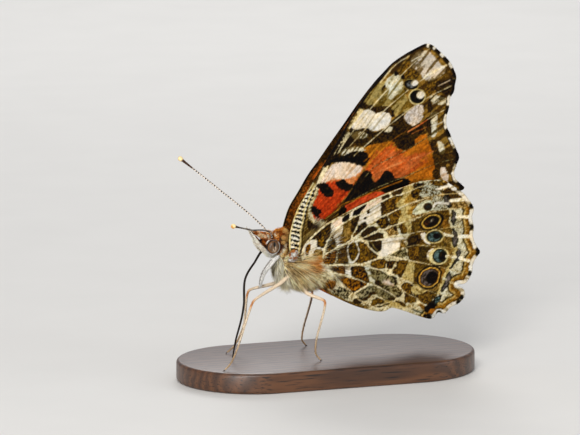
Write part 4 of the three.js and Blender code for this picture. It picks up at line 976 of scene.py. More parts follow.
brown_dark 0.9 10.75,3.35 11.04,3.36 11.09,3.09 10.99,2.8 10.78,2.97 10.72,3.18;
brown 0.6 11.48,3.49 12.02,3.74 12.23,3.51 12.42,3.14 12.52,2.84 12.48,2.48 11.82,2.44 11.59,2.73
 11.53,3.09;
black 0.4 4.28,4.89 4.39,5.14 4.99,5.32 5.06,5.13 4.98,4.72 4.64,4.49 4.38,4.29 4.25,4.42;
black 0.4 5.56,5.2 5.77,5.61 6.29,5.88 6.99,6.12 7.26,6.21 6.92,5.86 6.53,5.53 6.42,5.21 5.9,5.05 5.49,5.02;
brown_dark 0.5 7.32,5.17 7.36,5.47 7.62,5.56 7.64,5.36 7.51,5.1;
brown_dark 0.5 6.96,4.56 7.15,4.75 7.21,4.57 7.06,4.47;
pale_band 0.9 12.02,7.65 12.5,7.9 13.01,7.89 13.38,7.65 13.15,7.37 12.91,7.04 12.93,6.45 12.73,5.88
 13.04,5.33 12.79,4.76 12.97,4.16 12.84,3.7 13.03,3.16 12.83,2.47 12.52,2.43 12.54,2.84 12.43,3.17
 12.23,3.53 12.02,3.78 11.51,3.73 11.27,3.77 11.4,4.16 11.58,4.46 11.8,4.76 11.87,5.14 11.64,5.36 11.44,5.49
 10.99,5.76 11.35,6.06 11.6,6.23 11.88,6.51 12.01,6.81 11.92,7.14 12.15,7.47;
gold 1.4 12.81,6.81 13.5,7 13.81,6.74 12.99,6.15 12.36,5.96 12.3,6.2;
gold 1.4 12.73,5.12 13.3,5.6 13.74,5.75 13.3,5.19 13.17,4.73 12.6,4.66;
mottle 0.9 13.18,7.49 13.63,7.73 14.38,7.61 14.69,7.42 14.31,7 14.62,6.51 13.81,6.36 13.31,6.72 13.06,7.15;
marble 1 14.2,8.24 15.38,8.29 16.61,8.15 17.17,7.65 17.11,7.12 16.61,6.68 15.62,6.62 14.69,6.51 14.1,6.9
 14.57,7.28 14.44,7.7;
marble 1 15.68,5.97 16.12,6.44 17.11,6.47 17.85,6.37 18.16,5.7 17.91,5.01 17.11,4.94 15.87,4.88 15.81,5.49;
brown 0.7 15.38,8.29 16.12,8.36 16.98,8.22 17.73,7.67 17.36,7.6 16.37,7.76 15.63,8.04;
mottle_dark 0.8 13.32,8.07 14.14,8.26 14.63,8.1 14.01,7.85 13.44,7.73;
pale_clean 0.6 13.2,4.73 13.35,5.1 13.74,5.5 14.27,5.88 14.78,6.04 15.22,6.1 15.53,5.94 15.76,5.56
 15.94,5.27 15.75,4.99 15.29,4.87 14.7,4.78 14.04,4.68 13.59,4.57;
mottle_dark 0.9 17.17,7 17.73,7.36 18.22,7.29 18.84,6.84 19.52,6.27 19.61,5.97 18.71,6.14 17.91,6.13
 17.54,6.51;
brown 1 17.85,7.19 18.47,7.04 19.33,6.4 19.58,5.94 18.84,6.25 18.1,6.77;
warm 1.8 16.98,3.89 17.48,3.68 18.03,3.3 17.97,2.77 17.11,2.71 16.61,2.62 16.98,3.18;
brown_dark 1.6 12.58,1.78 13.21,2.03 14.03,2.03 14.28,1.48 13.84,1.04 13.08,0.96 12.54,0.9;
field_dark 1.2 14.16,0.73 14.66,0.75 15.48,0.54 15.17,0.01 15.04,-0.75 15.48,-1.31 14.73,-1.2 14.03,-0.97
 14.16,-0.16;
tan 1.8 17.17,2.23 17.73,2.43 18.22,2.28 18.28,1.46 18.22,0.58 17.35,0.92 17.17,1.41;
tan 1.8 17.85,0.07 18.34,0.16 18.77,-0.22 18.59,-1.39 17.85,-1.93 17.11,-1.83 17.48,-1.32 17.85,-0.76;
warm 1.8 17.08,-1.95 17.48,-2.26 17.39,-2.97 17.19,-3.6 16.9,-3.88 16.98,-3.18 16.92,-2.35;
tan 1.6 16.11,-4.18 16.74,-3.81 17.02,-3.71 16.8,-4.34 16.43,-4.85 15.74,-4.81 15.24,-4.66;
white 0.6 14.26,2.19 14.77,2.26 14.92,1.99 14.93,1.61 15.15,1.22 15.48,0.9 15.13,1.01 14.75,1.31 14.45,1.78;
white 0.7 15.09,-0.34 15.29,0.12 15.67,0.35 15.92,0.27 15.73,-0.09 15.71,-0.68 15.86,-1.04 15.52,-0.9
 15.2,-0.73;
pale 1 17.95,4.83 18.37,4.89 18.33,4.4 18.18,3.94 18.05,3.47 18.28,2.93 18.52,2.86 19.08,3.2 19.39,2.74
 18.9,2.71 18.29,2.59 17.95,2.89 17.9,3.6 18.05,4.18;
pale_band 1 18.12,1.05 18.39,0.68 18.69,0.31 18.95,0.07 18.81,-0.46 18.65,-1.04 18.38,-1.55 18.03,-2
 17.95,-2.47 17.73,-2.87 17.56,-3.33 17.33,-3.91 17.02,-4.42 16.71,-4.9 16.55,-5.13 16.39,-5.03 16.74,-4.4
 17.08,-3.77 17.27,-3.25 17.42,-2.5 17.66,-2.1 18.16,-1.36 18.4,-0.67 18.44,-0.03 18.22,0.46;
lunule 0.5 18.34,4.73 18.66,4.42 18.85,3.92 18.73,3.37 18.52,2.95 18.34,2.98 18.13,3.54 18.28,3.95
 18.38,4.36;
lunule 0.5 18.42,2.58 18.66,2.27 18.95,1.91 19.18,1.47 19.02,1.13 18.87,0.73 18.65,0.37 18.34,0.63
 18.38,1.04 18.34,1.59 18.42,2.07;
lunule 0.5 19.01,0.01 19.24,0.08 19.32,-0.49 19.24,-1.13 18.95,-1.47 18.59,-1.79 18.22,-2.11 17.98,-2.18
 18.19,-1.9 18.56,-1.44 18.81,-0.88 18.86,-0.4;
lunule 0.5 17.85,-2.49 18.08,-2.63 18.16,-3.2 18.08,-3.63 17.94,-4.11 17.56,-4.43 17.21,-4.76 16.97,-4.9
 16.85,-4.79 17.18,-4.25 17.4,-3.85 17.61,-3.24 17.84,-2.76;
lunule 0.8 17.08,6.36 17.42,6.55 17.85,6.13 18.19,5.7 18.17,5.23 17.85,5.16 17.36,5.58 17.48,5.98;
black 0.5 16.32,-5.44 16.76,-5.26 16.94,-5.41 16.77,-5.9 16.4,-6.37 16.19,-6.55 16.18,-6.83 15.6,-6.86
 15.38,-7.06 15.31,-7.22 14.93,-7.11 14.85,-6.67 15.07,-6.47 15.37,-6.26 15.81,-5.93;
black 0.5 14.69,-7.43 15.3,-7.42 16.21,-7.52 16.27,-7.73 15.87,-7.98 15.25,-7.88 14.73,-7.67;
teal 0.5 16.29,-5.67 16.69,-5.46 16.71,-5.89 16.47,-6.23 16.16,-6.14;
amber 0.5 15.38,-7.15 15.62,-6.92 16.07,-6.89 16.14,-7.13 15.75,-7.34 15.44,-7.32;
""")
HIND_LINES = rows_of("""
white 0.08 0.95 5.55,2.07 5.24,1.83 4.95,1.52 4.88,0.97 4.94,0.38 5.08,-0.16 5.3,-0.53;
white 0.08 0.95 5.8,2.03 6.08,1.45 6.29,0.88 6.24,0.41 6.01,-0.08 5.65,-0.45 5.3,-0.59;
white_green 0.07 0.9 3.75,1.22 3.55,0.64 3.54,0.17 3.36,-0.41;
black 0.07 1 0.49,2.61 1.03,3.09 1.59,3.53 2.27,4.01 2.77,4.32;
brown_dark 0.05 0.8 2.9,4.92 3.4,5.14 4.14,5.04 4.77,5.38 5.4,5.6;
pale_band 0.05 0.9 7.69,1.84 8,1.47 8.26,1.04 8.57,0.72;
black 0.09 0.9 8.69,-6.01 9.07,-6.04 9.62,-5.84 10.2,-5.78;
greywhite 0.06 0.8 8.43,-5.89 8.81,-5.82 9.32,-5.69 9.95,-5.64;
dark_teal 0.09 0.9 13.31,-6.73 13.88,-6.98 14.59,-7.25;
white 0.07 0.9 16.98,7.56 17.6,7.69 18.1,7.73;
white 0.12 1 16.31,7.35 16.8,7.4 17.36,7.54 18.03,7.62;
bright 0.2 1 18.1,5.87 18.84,5.9 19.76,5.92;
white 0.15 0.9 15.93,5.31 16.24,5.7 17.11,5.63 17.73,5.55;
bright 0.2 1 18.9,3.92 19.58,3.89 20.38,3.83;
cream 0.14 1 17.17,2.05 17.48,1.86 17.85,1.78 18.38,1.69;
bright 0.2 1 19.18,1.54 19.82,1.53 20.44,1.47;
cream 0.16 1 17.6,-0.69 18.1,-0.77 18.77,-0.86;
bright 0.18 1 19.31,-1.02 19.64,-1.19 19.95,-1.33 20.42,-1.41;
cream 0.15 0.8 17.21,-3.34 17.55,-3.45;
cream 0.15 0.7 18.13,-3.79 18.5,-3.98 18.96,-4.06;
brown_dark 0.05 0.9 15.61,-1.37 16.05,-1.62 16.42,-1.7 16.76,-1.7;
brown_dark 0.05 0.7 18.71,3.17 19.21,3.34 19.7,3.55;
tan 0.09 0.8 13.67,-4.25 14.24,-4.76 14.87,-5.1 15.49,-5.26;
""")
# Round spots: middle, half width, half height, tilt, and rings from the outermost to the innermost
FORE_EYES = [
    ((14.49, 19.14), 1.01, 0.68, -8, [(1.0, "cream_dull"), (0.86, "black"), (0.55, "bluegrey")]),
    ((14.93, 19.3), 0.44, 0.35, 0, [(1.0, "white")]),
    ((15.3, 17.65), 1.06, 0.94, 0, [(1.0, "ring_pale"), (0.85, "black")]),
    ((15.7, 17.84), 0.49, 0.46, 0, [(1.0, "white")]),
]
HIND_EYES = [
    ((15.18, 5.36), 0.6, 0.48, 0, [(1.0, "dark"), (0.5, "blueblack")]),
    ((15.66, 3.55), 1.6, 0.91, 14, [(1.0, "black")]),
    ((15.61, 3.58), 1.28, 0.78, 14, [(1.0, "ring"), (0.84, "black")]),
    ((16.03, 1.76), 1.26, 0.82, 0, [(1.0, "ring_pale"), (0.84, "black"), (0.7, "teal")]),
    ((15.06, 3.47), 0.37, 0.31, 30, [(1.0, "umber")]),
    ((15.69, 3.69), 0.32, 0.18, 30, [(1.0, "mauve"), (0.4, "marble")]),
    ((16.31, 1.81), 0.47, 0.35, 0, [(1.0, "black")]),
    ((16.58, -0.58), 1.32, 1.02, 0, [(1.0, "ring_pale")]),
    ((16.72, -0.56), 0.94, 0.86, 0, [(1.0, "black"), (0.82, "teal")]),
    ((17.03, -0.63), 0.47, 0.59, 0, [(1.0, "black")]),
    ((15.41, -3.03), 1.65, 1.4, 22, [(1.0, "black")]),
    ((15.41, -3.05), 1.43, 1.2, 22, [(1.0, "ring"), (0.9, "ring_amber"), (0.86, "black"), (0.8, "mauve")]),
    ((15.76, -3.1), 0.79, 0.75, 22, [(1.0, "black")]),
]
# Black places of the fringe, at the veins' ends: to the tail, up, radius
FORE_TIPS = [
    (16.2, 23.7, 0.25), (17, 23.5, 0.24), (17.8, 22.8, 0.42), (18.8, 21.7, 0.48), (19.9, 20.2, 0.62),
    (20, 18.8, 0.75), (19.7, 18, 0.5), (19.1, 15.9, 0.5), (19.3, 13.2, 0.56), (20.4, 10.4, 0.95),
    (20.8, 6.6, 0.75),
]
HIND_TIPS = [
    (19.2, 7.3, 0.33), (20.7, 5.1, 0.33), (20.7, 2.6, 0.33), (21.5, -0.2, 0.33), (21.5, -0.6, 0.33),
    (20.5, -2.9, 0.33), (19, -5.8, 0.33), (19.5, -5.7, 0.33), (19.2, -6.3, 0.33), (16.7, -7.4, 0.33),
    (15.4, -7.8, 0.33),
]
# Bands along the outer margin: kind of scales, from and to how deep inside it, strength
FORE_BANDS = [("brown_dark", 0.3, 0.46, 0.85)]
HIND_BANDS = [
    ("grey_hem", 1.2, 2.15, 1.0), ("hem_light", 0.78, 1.2, 1.0), ("hem", 0.4, 0.86, 1.0),
    ("brown_dark", 1.1, 1.3, 0.85), ("brown", 0.42, 0.58, 0.8),
]
HIND_VEIN_WIDTHS = [0.09, 0.12, 0.075, 0.075, 0.1, 0.07, 0.13, 0.09, 0.09, 0.09, 0.14, 0.08, 0.1]


def curve(points, step=0.25):
    """A smooth line through points of a wing's plane."""
    points = np.asarray(points, float)
    ends = np.vstack([2 * points[0] - points[1], points, 2 * points[-1] - points[-2]])
    line = []
    for a, b, c, d in zip(ends, ends[1:], ends[2:], ends[3:]):
        count = max(2, int(np.hypot(*(c - b)) / step))
        for t in np.arange(count) / count:
            bend = (2 * a - 5 * b + 4 * c - d) * t * t + (3 * b - a - 3 * c + d) * t ** 3
            line.append(0.5 * (2 * b + (c - a) * t + bend))
    return np.array(line + [points[-1]])


def rounded(points):
    """A closed outline with its corners cut once."""
    after = np.roll(points, -1, 0)
    return np.stack([points * 0.8 + after * 0.2, points * 0.2 + after * 0.8], 1).reshape(-1, 2)


def line_distance(at, line):
    best = np.full(len(at), 1e9)
    for a, b in zip(line[:-1], line[1:]):
        along = b - a
        t = np.clip(((at - a) @ along) / max(along @ along, 1e-12), 0, 1)
        best = np.minimum(best, np.hypot(*(at - a - t[:, None] * along).T))
    return best


def depth(at, outline):
    """Distance inside a closed outline, negative outside it."""
    closed = np.vstack([outline, outline[:1]])
    inside = np.zeros(len(at), bool)
    x, z = at.T
    for (ax, az), (bx, bz) in zip(closed[:-1], closed[1:]):
        if az != bz:
            inside ^= ((az > z) != (bz > z)) & (x < (bx - ax) * (z - az) / (bz - az) + ax)
    return np.where(inside, 1, -1) * line_distance(at, closed)


def noise(at, size, seed, octaves=2, lattice_size=64):
    """Smooth random values, 0 to 1, over a plane."""
    total, weight = np.zeros(len(at)), 0.0
    for octave in range(octaves):
        lattice = np.random.default_rng(seed + 101 * octave).random((lattice_size, lattice_size))
        spot = at / size * 2 ** octave + 17.3
        cell = np.floor(spot).astype(int)
        x, z = smooth(0, 1, spot - cell).T
        (i, j), (k, m) = cell.T % lattice_size, (cell.T + 1) % lattice_size
        low = lattice[i, j] * (1 - x) + lattice[k, j] * x
        high = lattice[i, m] * (1 - x) + lattice[k, m] * x
        total += (low * (1 - z) + high * z) * 0.6 ** octave
        weight += 0.6 ** octave
    return total / weight


def even_ranks(values_in):
    """The values' ranks, spread evenly from 0 to 1."""
    ranks = np.empty(len(values_in))
    ranks[np.argsort(values_in)] = np.linspace(0, 1, len(values_in))
    return ranks


class Powder:
    """The scales over a set of places on one face of a wing."""

    def __init__(self, at, seed):
        reach = np.hypot(*at.T)
        turn = np.arctan2(at[:, 1], at[:, 0] + 3) * 14
        streak = noise(np.stack([turn / 0.17, reach / 2.6], 1), 1.0, seed + 1, 1)
        fine = noise(at, 0.14, seed + 2)
        blotch = noise(at, 0.55, seed + 3, 3)
        self.at = at
        self.grain = {
            "streak": even_ranks(streak * 0.75 + fine * 0.25),
            "fine": even_ranks(fine * 0.75 + blotch * 0.25),
        }
        self.edge = 0.8 * noise(at, 0.34, seed + 4) + 0.5 * noise(at, 0.16, seed + 6) + 0.8 * streak - 1.05
        self.tone = noise(at, 1.3, seed + 5) - 0.5
        self.tints = np.zeros((len(at), 3))

    def near(self, points, room):
        low, high = points.min(0) - room, points.max(0) + room
        return np.flatnonzero(((self.at > low) & (self.at < high)).all(1))

    def cover(self, kind, share, rows=slice(None)):
        """Lays one kind of scales over some of the places, thickly or thinly."""
        main, second, part, grain, _ = SCALES[kind]
        mix = smooth(0.84 - part, 1.16 - part, self.grain[grain][rows])
        share = np.reshape(share, (-1, 1))
        self.tints[rows] = self.tints[rows] * (1 - share) + mixed(main, second, mix) / 255 * share

    def mark(self, kind, soft, points):
        outline = rounded(points)
        rows = self.near(outline, 1.0)
        inward = depth(self.at[rows], outline) + 0.06 + self.edge[rows] * (0.1 + 0.16 * soft)
        share = smooth(-0.07 * soft, 0.07 * soft, inward)
        self.cover(kind, share, rows)
        rim = SCALES[kind][-1] * share * (1 - smooth(0.0, 0.24, inward))
        self.tints[rows] *= (1 - rim)[:, None]

    def rings(self, middle, rx, rz, tilt, rings):
        rows = self.near(np.array([middle]), max(rx, rz) * 1.3)
        c, s = math.cos(math.radians(tilt)), math.sin(math.radians(tilt))
        x, z = (self.at[rows] - middle).T
        reach = np.hypot((x * c + z * s) / rx, (z * c - x * s) / rz) + self.edge[rows] * 0.09
        blur = 0.07 / min(rx, rz)
        for scale, kind in rings:
            self.cover(kind, 1 - smooth(scale - blur, scale + blur, reach), rows)

    def line(self, kind, half_width, strength, points):
        path = curve(points)
        rows = self.near(path, half_width + 0.3)
        away = line_distance(self.at[rows], path) + self.edge[rows] * 0.05
        self.cover(kind, strength * (1 - smooth(half_width - 0.06, half_width + 0.06, away)), rows)

    def vein(self, points, half_width):
        """A pale line that thins out to the margin, over the darker cells beside it."""
        path = curve(points)
        rows = self.near(path, half_width + 0.3)
        away = line_distance(self.at[rows], path) + self.edge[rows] * 0.04
        out = np.clip((self.at[rows, 0] - 11) / 9, 0, 1)
        half = 0.66 * half_width * (1 - 0.4 * out)
        edge = 1 - smooth(half - 0.05, half + 0.05, away)
        self.cover("gold", 0.55 * out * edge, rows)
        self.cover("cream", (0.95 - 0.7 * out) * edge, rows)

    def border(self, shape, tips, bands, width=0.2):
        """Bands along the outer margin, and the fringe, which is black at the veins and white between."""
        away = line_distance(self.at, margin(shape)) + self.edge * 0.12
        rows = np.flatnonzero(away < 3.2)
        away = away[rows]
        for kind, low, high, share in bands:
            band = smooth(low - 0.06, low + 0.06, away) * (1 - smooth(high - 0.06, high + 0.06, away))
            self.cover(kind, share * band, rows)
        beyond = [np.hypot(*(self.at[rows] - (x, z)).T) - radius for x, z, radius in tips]
        share = 1 - smooth(width - 0.05, width + 0.05, away)
        self.fringe = rows, share, smooth(-0.12, 0.12, np.min(beyond, 0))

    def lay_fringe(self):
        rows, share, white = self.fringe
        self.cover("white", share * white, rows)
        self.cover("black", share * (1 - white), rows)


def costal_bars(powder):
    """Small black and white bars between the two pale lines at the front edge's base."""
    front, back = [curve(row[-1]) for row in COSTA_LINES[:2]]
    x, z = powder.at.T
    rows = np.flatnonzero((z > 0.3) & (z < 7.6) & (x < 2.2))
    at = powder.at[rows]
    gap = line_distance(at, front) + line_distance(at, back)
    band = 1 - smooth(1.25, 1.5, gap)
    bars = np.sin(at[:, 1] * 2 * math.pi / 0.52 + 2.2 * powder.edge[rows] + 3 * at[:, 0]) > -0.2
    powder.cover("bright", band, rows)
    powder.cover("black", band * bars, rows)
    for row in COSTA_LINES:
        powder.line(*row)


def underside(name, powder):
    if name == "forewing":
        powder.cover("tan_streak", 1)
        for row in FORE_MARKS:
            powder.mark(*row)
        for row in FORE_LINES:
            powder.line(*row)
        for spot in FORE_EYES:
            powder.rings(*spot)
        costal_bars(powder)
        powder.border(FOREWING, FORE_TIPS, FORE_BANDS, 0.32)
        for kind, width, strength, points in FORE_GLEAMS:
            powder.line(kind, 0.45 * width, 0.75 * strength, points)
    else:
        powder.cover("pale", 1)
        powder.border(HINDWING, HIND_TIPS, HIND_BANDS, 0.42)
        for row in HIND_MARKS:
            powder.mark(*row)
        for vein, width in zip(HINDWING["veins"], HIND_VEIN_WIDTHS):
            powder.vein(vein, width)
        for spot in HIND_EYES:
            powder.rings(*spot)
        for row in HIND_LINES:
            powder.line(*row)


def upperside(name, powder):
    """The orange upper side, of which the pose shows little."""
    reach = np.hypot(*powder.at.T)
    powder.cover("upper_glow", 1)
    powder.cover("upper_ground", 1 - smooth(2.5, 7.5, reach))
    if name == "forewing":
        powder.cover("upper_dark", smooth(16.5, 18.5, reach))
        away = line_distance(powder.at, curve(FOREWING["outline"][FOREWING["border"][1] - 1:-1]))
        powder.cover("upper_costa", 0.92 * (1 - smooth(1.3, 2.3, away + 3 * powder.edge)))
        powder.cover("black", 1 - smooth(0.14, 0.26, away))
        shared_marks(powder, FORE_MARKS, FORE_UPPER)
        powder.border(FOREWING, FORE_TIPS, [("black", 0.0, 1.4, 1.0)])
    else:
        powder.border(HINDWING, HIND_TIPS, [("black", 0.0, 0.5, 1.0), ("black", 1.2, 1.7, 0.8)])
        for middle, rx, rz, tilt, _ in HIND_EYES:
            powder.rings(middle, rx * 0.62, rz * 0.62, tilt, [(1.0, "black")])
        shared_marks(powder, HIND_MARKS, HIND_UPPER)


def shared_marks(powder, marks, upper_kinds):
    """The marks that show on both sides, in the upper side's colours."""
    for kind, soft, points in marks:
        for upper_kind, kinds in upper_kinds.items():
            if kind in kinds:
                powder.mark(upper_kind, soft, points)


def wing_tints(name, at, outer):
    """The colour of a wing at places of its outer or its inner face."""
    powder = Powder(at, 7 if name == "forewing" else 31)
    (underside if outer else upperside)(name, powder)
    powder.lay_fringe()
    grain = noise(at, 0.14, 11) + noise(at, 0.24, 12) - 1
    calm = 1 - 0.8 * powder.tints.mean(1)
    bright = 1 + (0.34 * powder.tone + 0.66 * grain) * calm
    warm = 0.1 * (noise(at, 0.8, 13) - 0.5)
    shade = bright[:, None] * (1 + warm[:, None] * (1, 0.2, -1.2))
    return np.clip(powder.tints * shade * (0.965, 0.965, 1.02) - (0.045, 0.047, 0.1), 0.004, 1)


def closed_outline(shape):
    return curve(shape["outline"] + shape["outline"][:1], 0.2)[:-1]


def margin(shape):
    """The points of a wing's outer margin."""
    return np.array(shape["outline"][slice(*shape["border"])], float)


def mid_surface(shape, at):
    """How far the middle of the membrane stands from the butterfly's centre plane."""
    reach = np.hypot(*at.T)
    knots = np.array(shape["spread"], float)
    k = np.clip(np.searchsorted(knots[:, 0], reach, side="right") - 1, 0, len(knots) - 2)
    share = smooth(knots[k, 0], knots[k + 1, 0], reach)
    return knots[k, 1] * (1 - share) + knots[k + 1, 1] * share


def membrane(shape, at, sizes):
    """The middle of a wing's membrane, with troughs between the veins, and the height of its veins."""
    away = np.min([line_distance(at, curve(vein)) for vein in shape["veins"]], 0)
    ridge = sizes.ridge * np.exp(-(away / VEIN_WIDTH) ** 2)
    trough = sizes.pleat * (1 - np.exp(-(away / TROUGH_WIDTH) ** 2))
    return mid_surface(shape, at) + sizes.billow * (noise(at, 5.0, 3) - 0.5) - trough, ridge


def stood_up(shape, at, out):
    """Places of a wing's plane, out from the centre plane on the left side."""
    x, z = shape["hinge"]
    return np.stack([at[:, 0] + x, -out, at[:, 1] + z], 1)


def snapped(at, line):
    """Each place moved to the nearest one on a line."""
    a, along = line[:-1], np.diff(line, axis=0)
    steps = ((at[:, None] - a) * along).sum(2) / (along ** 2).sum(1)
    spots = a + np.clip(steps, 0, 1)[:, :, None] * along
    return spots[np.arange(len(at)), np.argmin(np.linalg.norm(at[:, None] - spots, axis=2), 1)]


def cut_sheet(outline, pitch):
    """A fine flat grid, cut to an outline, and the places of its corners."""
    low, high = outline.min(0) - pitch, outline.max(0) + pitch
    across, up = [int(count) for count in np.ceil((high - low) / pitch)]
    clear_selection()
    bpy.ops.mesh.primitive_grid_add(x_subdivisions=across, y_subdivisions=up, size=1)
    sheet = bpy.context.object
    mesh = sheet.data
    outside = depth(low + (corners(sheet)[:, :2] + 0.5) * (high - low), outline) < -0.45 * pitch
    for items in (mesh.polygons, mesh.edges):
        items.foreach_set("select", np.zeros(len(items), bool))
    mesh.vertices.foreach_set("select", outside)
    bpy.ops.object.mode_set(mode="EDIT")
    bpy.ops.mesh.select_mode(type="VERT")
    bpy.ops.mesh.delete(type="VERT")
    bpy.ops.object.mode_set(mode="OBJECT")
    at = low + (corners(sheet)[:, :2] + 0.5) * (high - low)
    uses = np.bincount(values(mesh.loops, "edge_index", kind=int), minlength=len(mesh.edges))
    rim = np.unique(values(mesh.edges, "vertices", 2, int)[uses == 1])
    at[rim] = snapped(at[rim], np.vstack([outline, outline[:1]]))
    return sheet, at


def wing(name, shape, sizes):
    """One left wing: a fine sheet cut to the outline, given its thickness, veins and scales."""
    sheet, at = cut_sheet(closed_outline(shape), sizes.pitch)
    move_corners(sheet, np.insert(at, 1, 0, 1))
    modify(sheet, "SOLIDIFY", thickness=sizes.thickness, offset=0.0, use_even_offset=False)
    outer = corners(sheet)[:, 1] < 0
    at = corners(sheet)[:, [0, 2]]
    middle, ridge = membrane(shape, at, sizes)
    half = sizes.thickness / 2
    out = np.where(outer, middle + half + ridge, middle - half - 0.4 * ridge)
    move_corners(sheet, stood_up(shape, at, out))
    tints = np.empty((len(at), 3))
    for face in (True, False):
        tints[outer == face] = wing_tints(name, at[outer == face], face)
    tint_corners(sheet, tints)
    flat = (at - at.min(0)) / np.ptp(at, axis=0).max() * 0.96 + 0.02
    halves = np.stack([flat[:, 0] * 0.5 + np.where(outer, 0.0, 0.5), flat[:, 1]], 1)
    lay_chart(sheet.data, halves[values(sheet.data.loops, "vertex_index", kind=int)])
    outward(sheet)
    return sheet


def fringe(name, shape, sizes, number):
    """The scales that stand out along a wing's outer margin, three rows on each face."""
    random = seeded(number)
    edge = curve(margin(shape), 0.2)
    run = np.concatenate([[0], np.cumsum(np.hypot(*np.diff(edge, axis=0).T))])
    n = int(run[-1] / sizes.fringe_pitch) * 6
    place = run[-1] * random.random(n)
    rim = np.stack([np.interp(place, run, edge[:, k]) for k in (0, 1)], 1)
    slope = np.stack([np.interp(place, run, np.gradient(edge[:, k], run)) for k in (0, 1)], 1)
    out = np.stack([slope[:, 1], -slope[:, 0]], 1)
    out /= np.hypot(*out.T)[:, None]
    if np.mean(depth(rim + out * 0.3, closed_outline(shape))) > 0:
        out = -out
    row = random.integers(0, 3, n)
    outer = random.random(n) < 0.5
    at = rim - out * (0.14 + 0.1 * row)[:, None]
    face = np.where(outer, 1.0, -1.0)
    roots = stood_up(shape, at, membrane(shape, at, sizes)[0] + face * (sizes.thickness / 2 - 0.02))
    normals = np.stack([0 * face, -face, 0 * face], 1)
    lie = np.insert(out, 1, 0, 1) + random.standard_normal((n, 3)) * 0.12
    tints = np.empty((n, 3))
    for side in (True, False):
        tints[outer == side] = wing_tints(name, (rim - out * 0.14)[outer == side], side)
    tints = tints * (1 + 0.12 * random.standard_normal(n))[:, None]
    charts = np.stack([0.05 + 0.9 * place / run[-1], 0.2 + 0.2 * row + 0.1 * outer], 1)
    length = 0.18 + 0.1 * random.random(n)
    return sow(
        f"{name}_fringe", "scale", roots, normals, lie, length, 0.026, math.radians(3), tints, charts,
        shade=0.9, flat=0.35,
    )


def root_hair(name, shape, sizes, number):
    """Hair on a wing near its hinge, lying outwards in the colours beneath it."""
    random = seeded(number)
    turn = np.radians(random.uniform(*shape["hair_fan"], sizes.root_hairs))
    away = ROOT_HAIR_REACH * random.random(sizes.root_hairs) ** 0.7 + 0.2
    at = np.stack([np.cos(turn), np.sin(turn)], 1) * away[:, None]
    at = at[depth(at, closed_outline(shape)) > 0.1]
    n = len(at)
    middle, ridge = membrane(shape, at, sizes)
    roots = stood_up(shape, at, middle + sizes.thickness / 2 + ridge - 0.02)
    normals = np.tile((0.0, -1.0, 0.0), (n, 1))
    lie = np.stack([at[:, 0], np.zeros(n), at[:, 1] - 0.25 * np.abs(at[:, 0])], 1)
    lie = lie / np.hypot(*at.T)[:, None] + random.standard_normal(lie.shape) * 0.2
    tints = wing_tints(name, at, True) * (1 + 0.3 * random.standard_normal(n))[:, None]
    charts = 0.1 + 0.8 * (at - at.min(0)) / np.ptp(at, axis=0)
    length = varied(random, ROOT_HAIR_LENGTH, n, 0.6, 0.8)
    return sow(
        f"{name}_root_hair", "hair", roots, normals, lie, length, 0.032, math.radians(9),
        np.clip(tints, 0.05, 1), charts, shade=0.75,
    )


def far_copy(piece, hinge):
    """The right wing: the left one mirrored, with its own mesh, and swept back a little."""
    clear_selection()
    other = piece.copy()
    other.data = piece.data.copy()
    bpy.context.collection.objects.link(other)
    places = corners(other)
    x, z = places[:, 0] - hinge[0], places[:, 2] - hinge[1]
    c, s = math.cos(FAR_SWEEP), math.sin(FAR_SWEEP)
    move_corners(other, np.stack([x * c + z * s + hinge[0], -places[:, 1], z * c - x * s + hinge[1]], 1))
    outward(other)
    return other


def egg_depth(places, centre, radii, pitch=0.0):
    """How deep places lie in an egg shape: 1 on its surface."""
    rel = (places - np.array(centre)) @ np.array(Matrix.Rotation(pitch, 3, "Y"))
    return np.linalg.norm(rel / np.array(radii), axis=1)


def beside(places, points, count=24):
    """Each place's distance to a route, the share of the way there, and the route's place and direction."""
    line, _ = route(points, count)
    away = np.linalg.norm(places[:, None] - line, axis=2)
    k = np.argmin(away, axis=1)
    return away.min(1), k / (count - 1), line[k], frames(line)[0][k]


def folded(places):
    """Places brought to the right side."""
    return places * (1, 0, 1) + np.abs(places) * (0, 1, 0)


def picked(options, region):
    """From a list of options for every place, the one of each place's own region."""
    return np.stack(options)[region, np.arange(len(region))]


def regions(places):
    """Which mass each place belongs to, as the numbers after PALP_REGION say."""
    palp, palp_along, *_ = beside(folded(places), PALP)
    frons, frons_along, *_ = beside(places, FRONS)
    return np.argmin([
        palp / girth(PALP_RADII, palp_along),
        np.minimum(egg_depth(places, *HEAD), egg_depth(places, *CROWN)),
        egg_depth(places, *COLLAR),
        egg_depth(places, *THORAX, THORAX_PITCH),
        beside(places, ABDOMEN_AXIS)[0] / ABDOMEN_GIRTH,
        np.minimum(*[egg_depth(folded(places), *coxa) for coxa in COXAE]),
        frons / girth(FRONS_RADII, frons_along),
    ], axis=0)


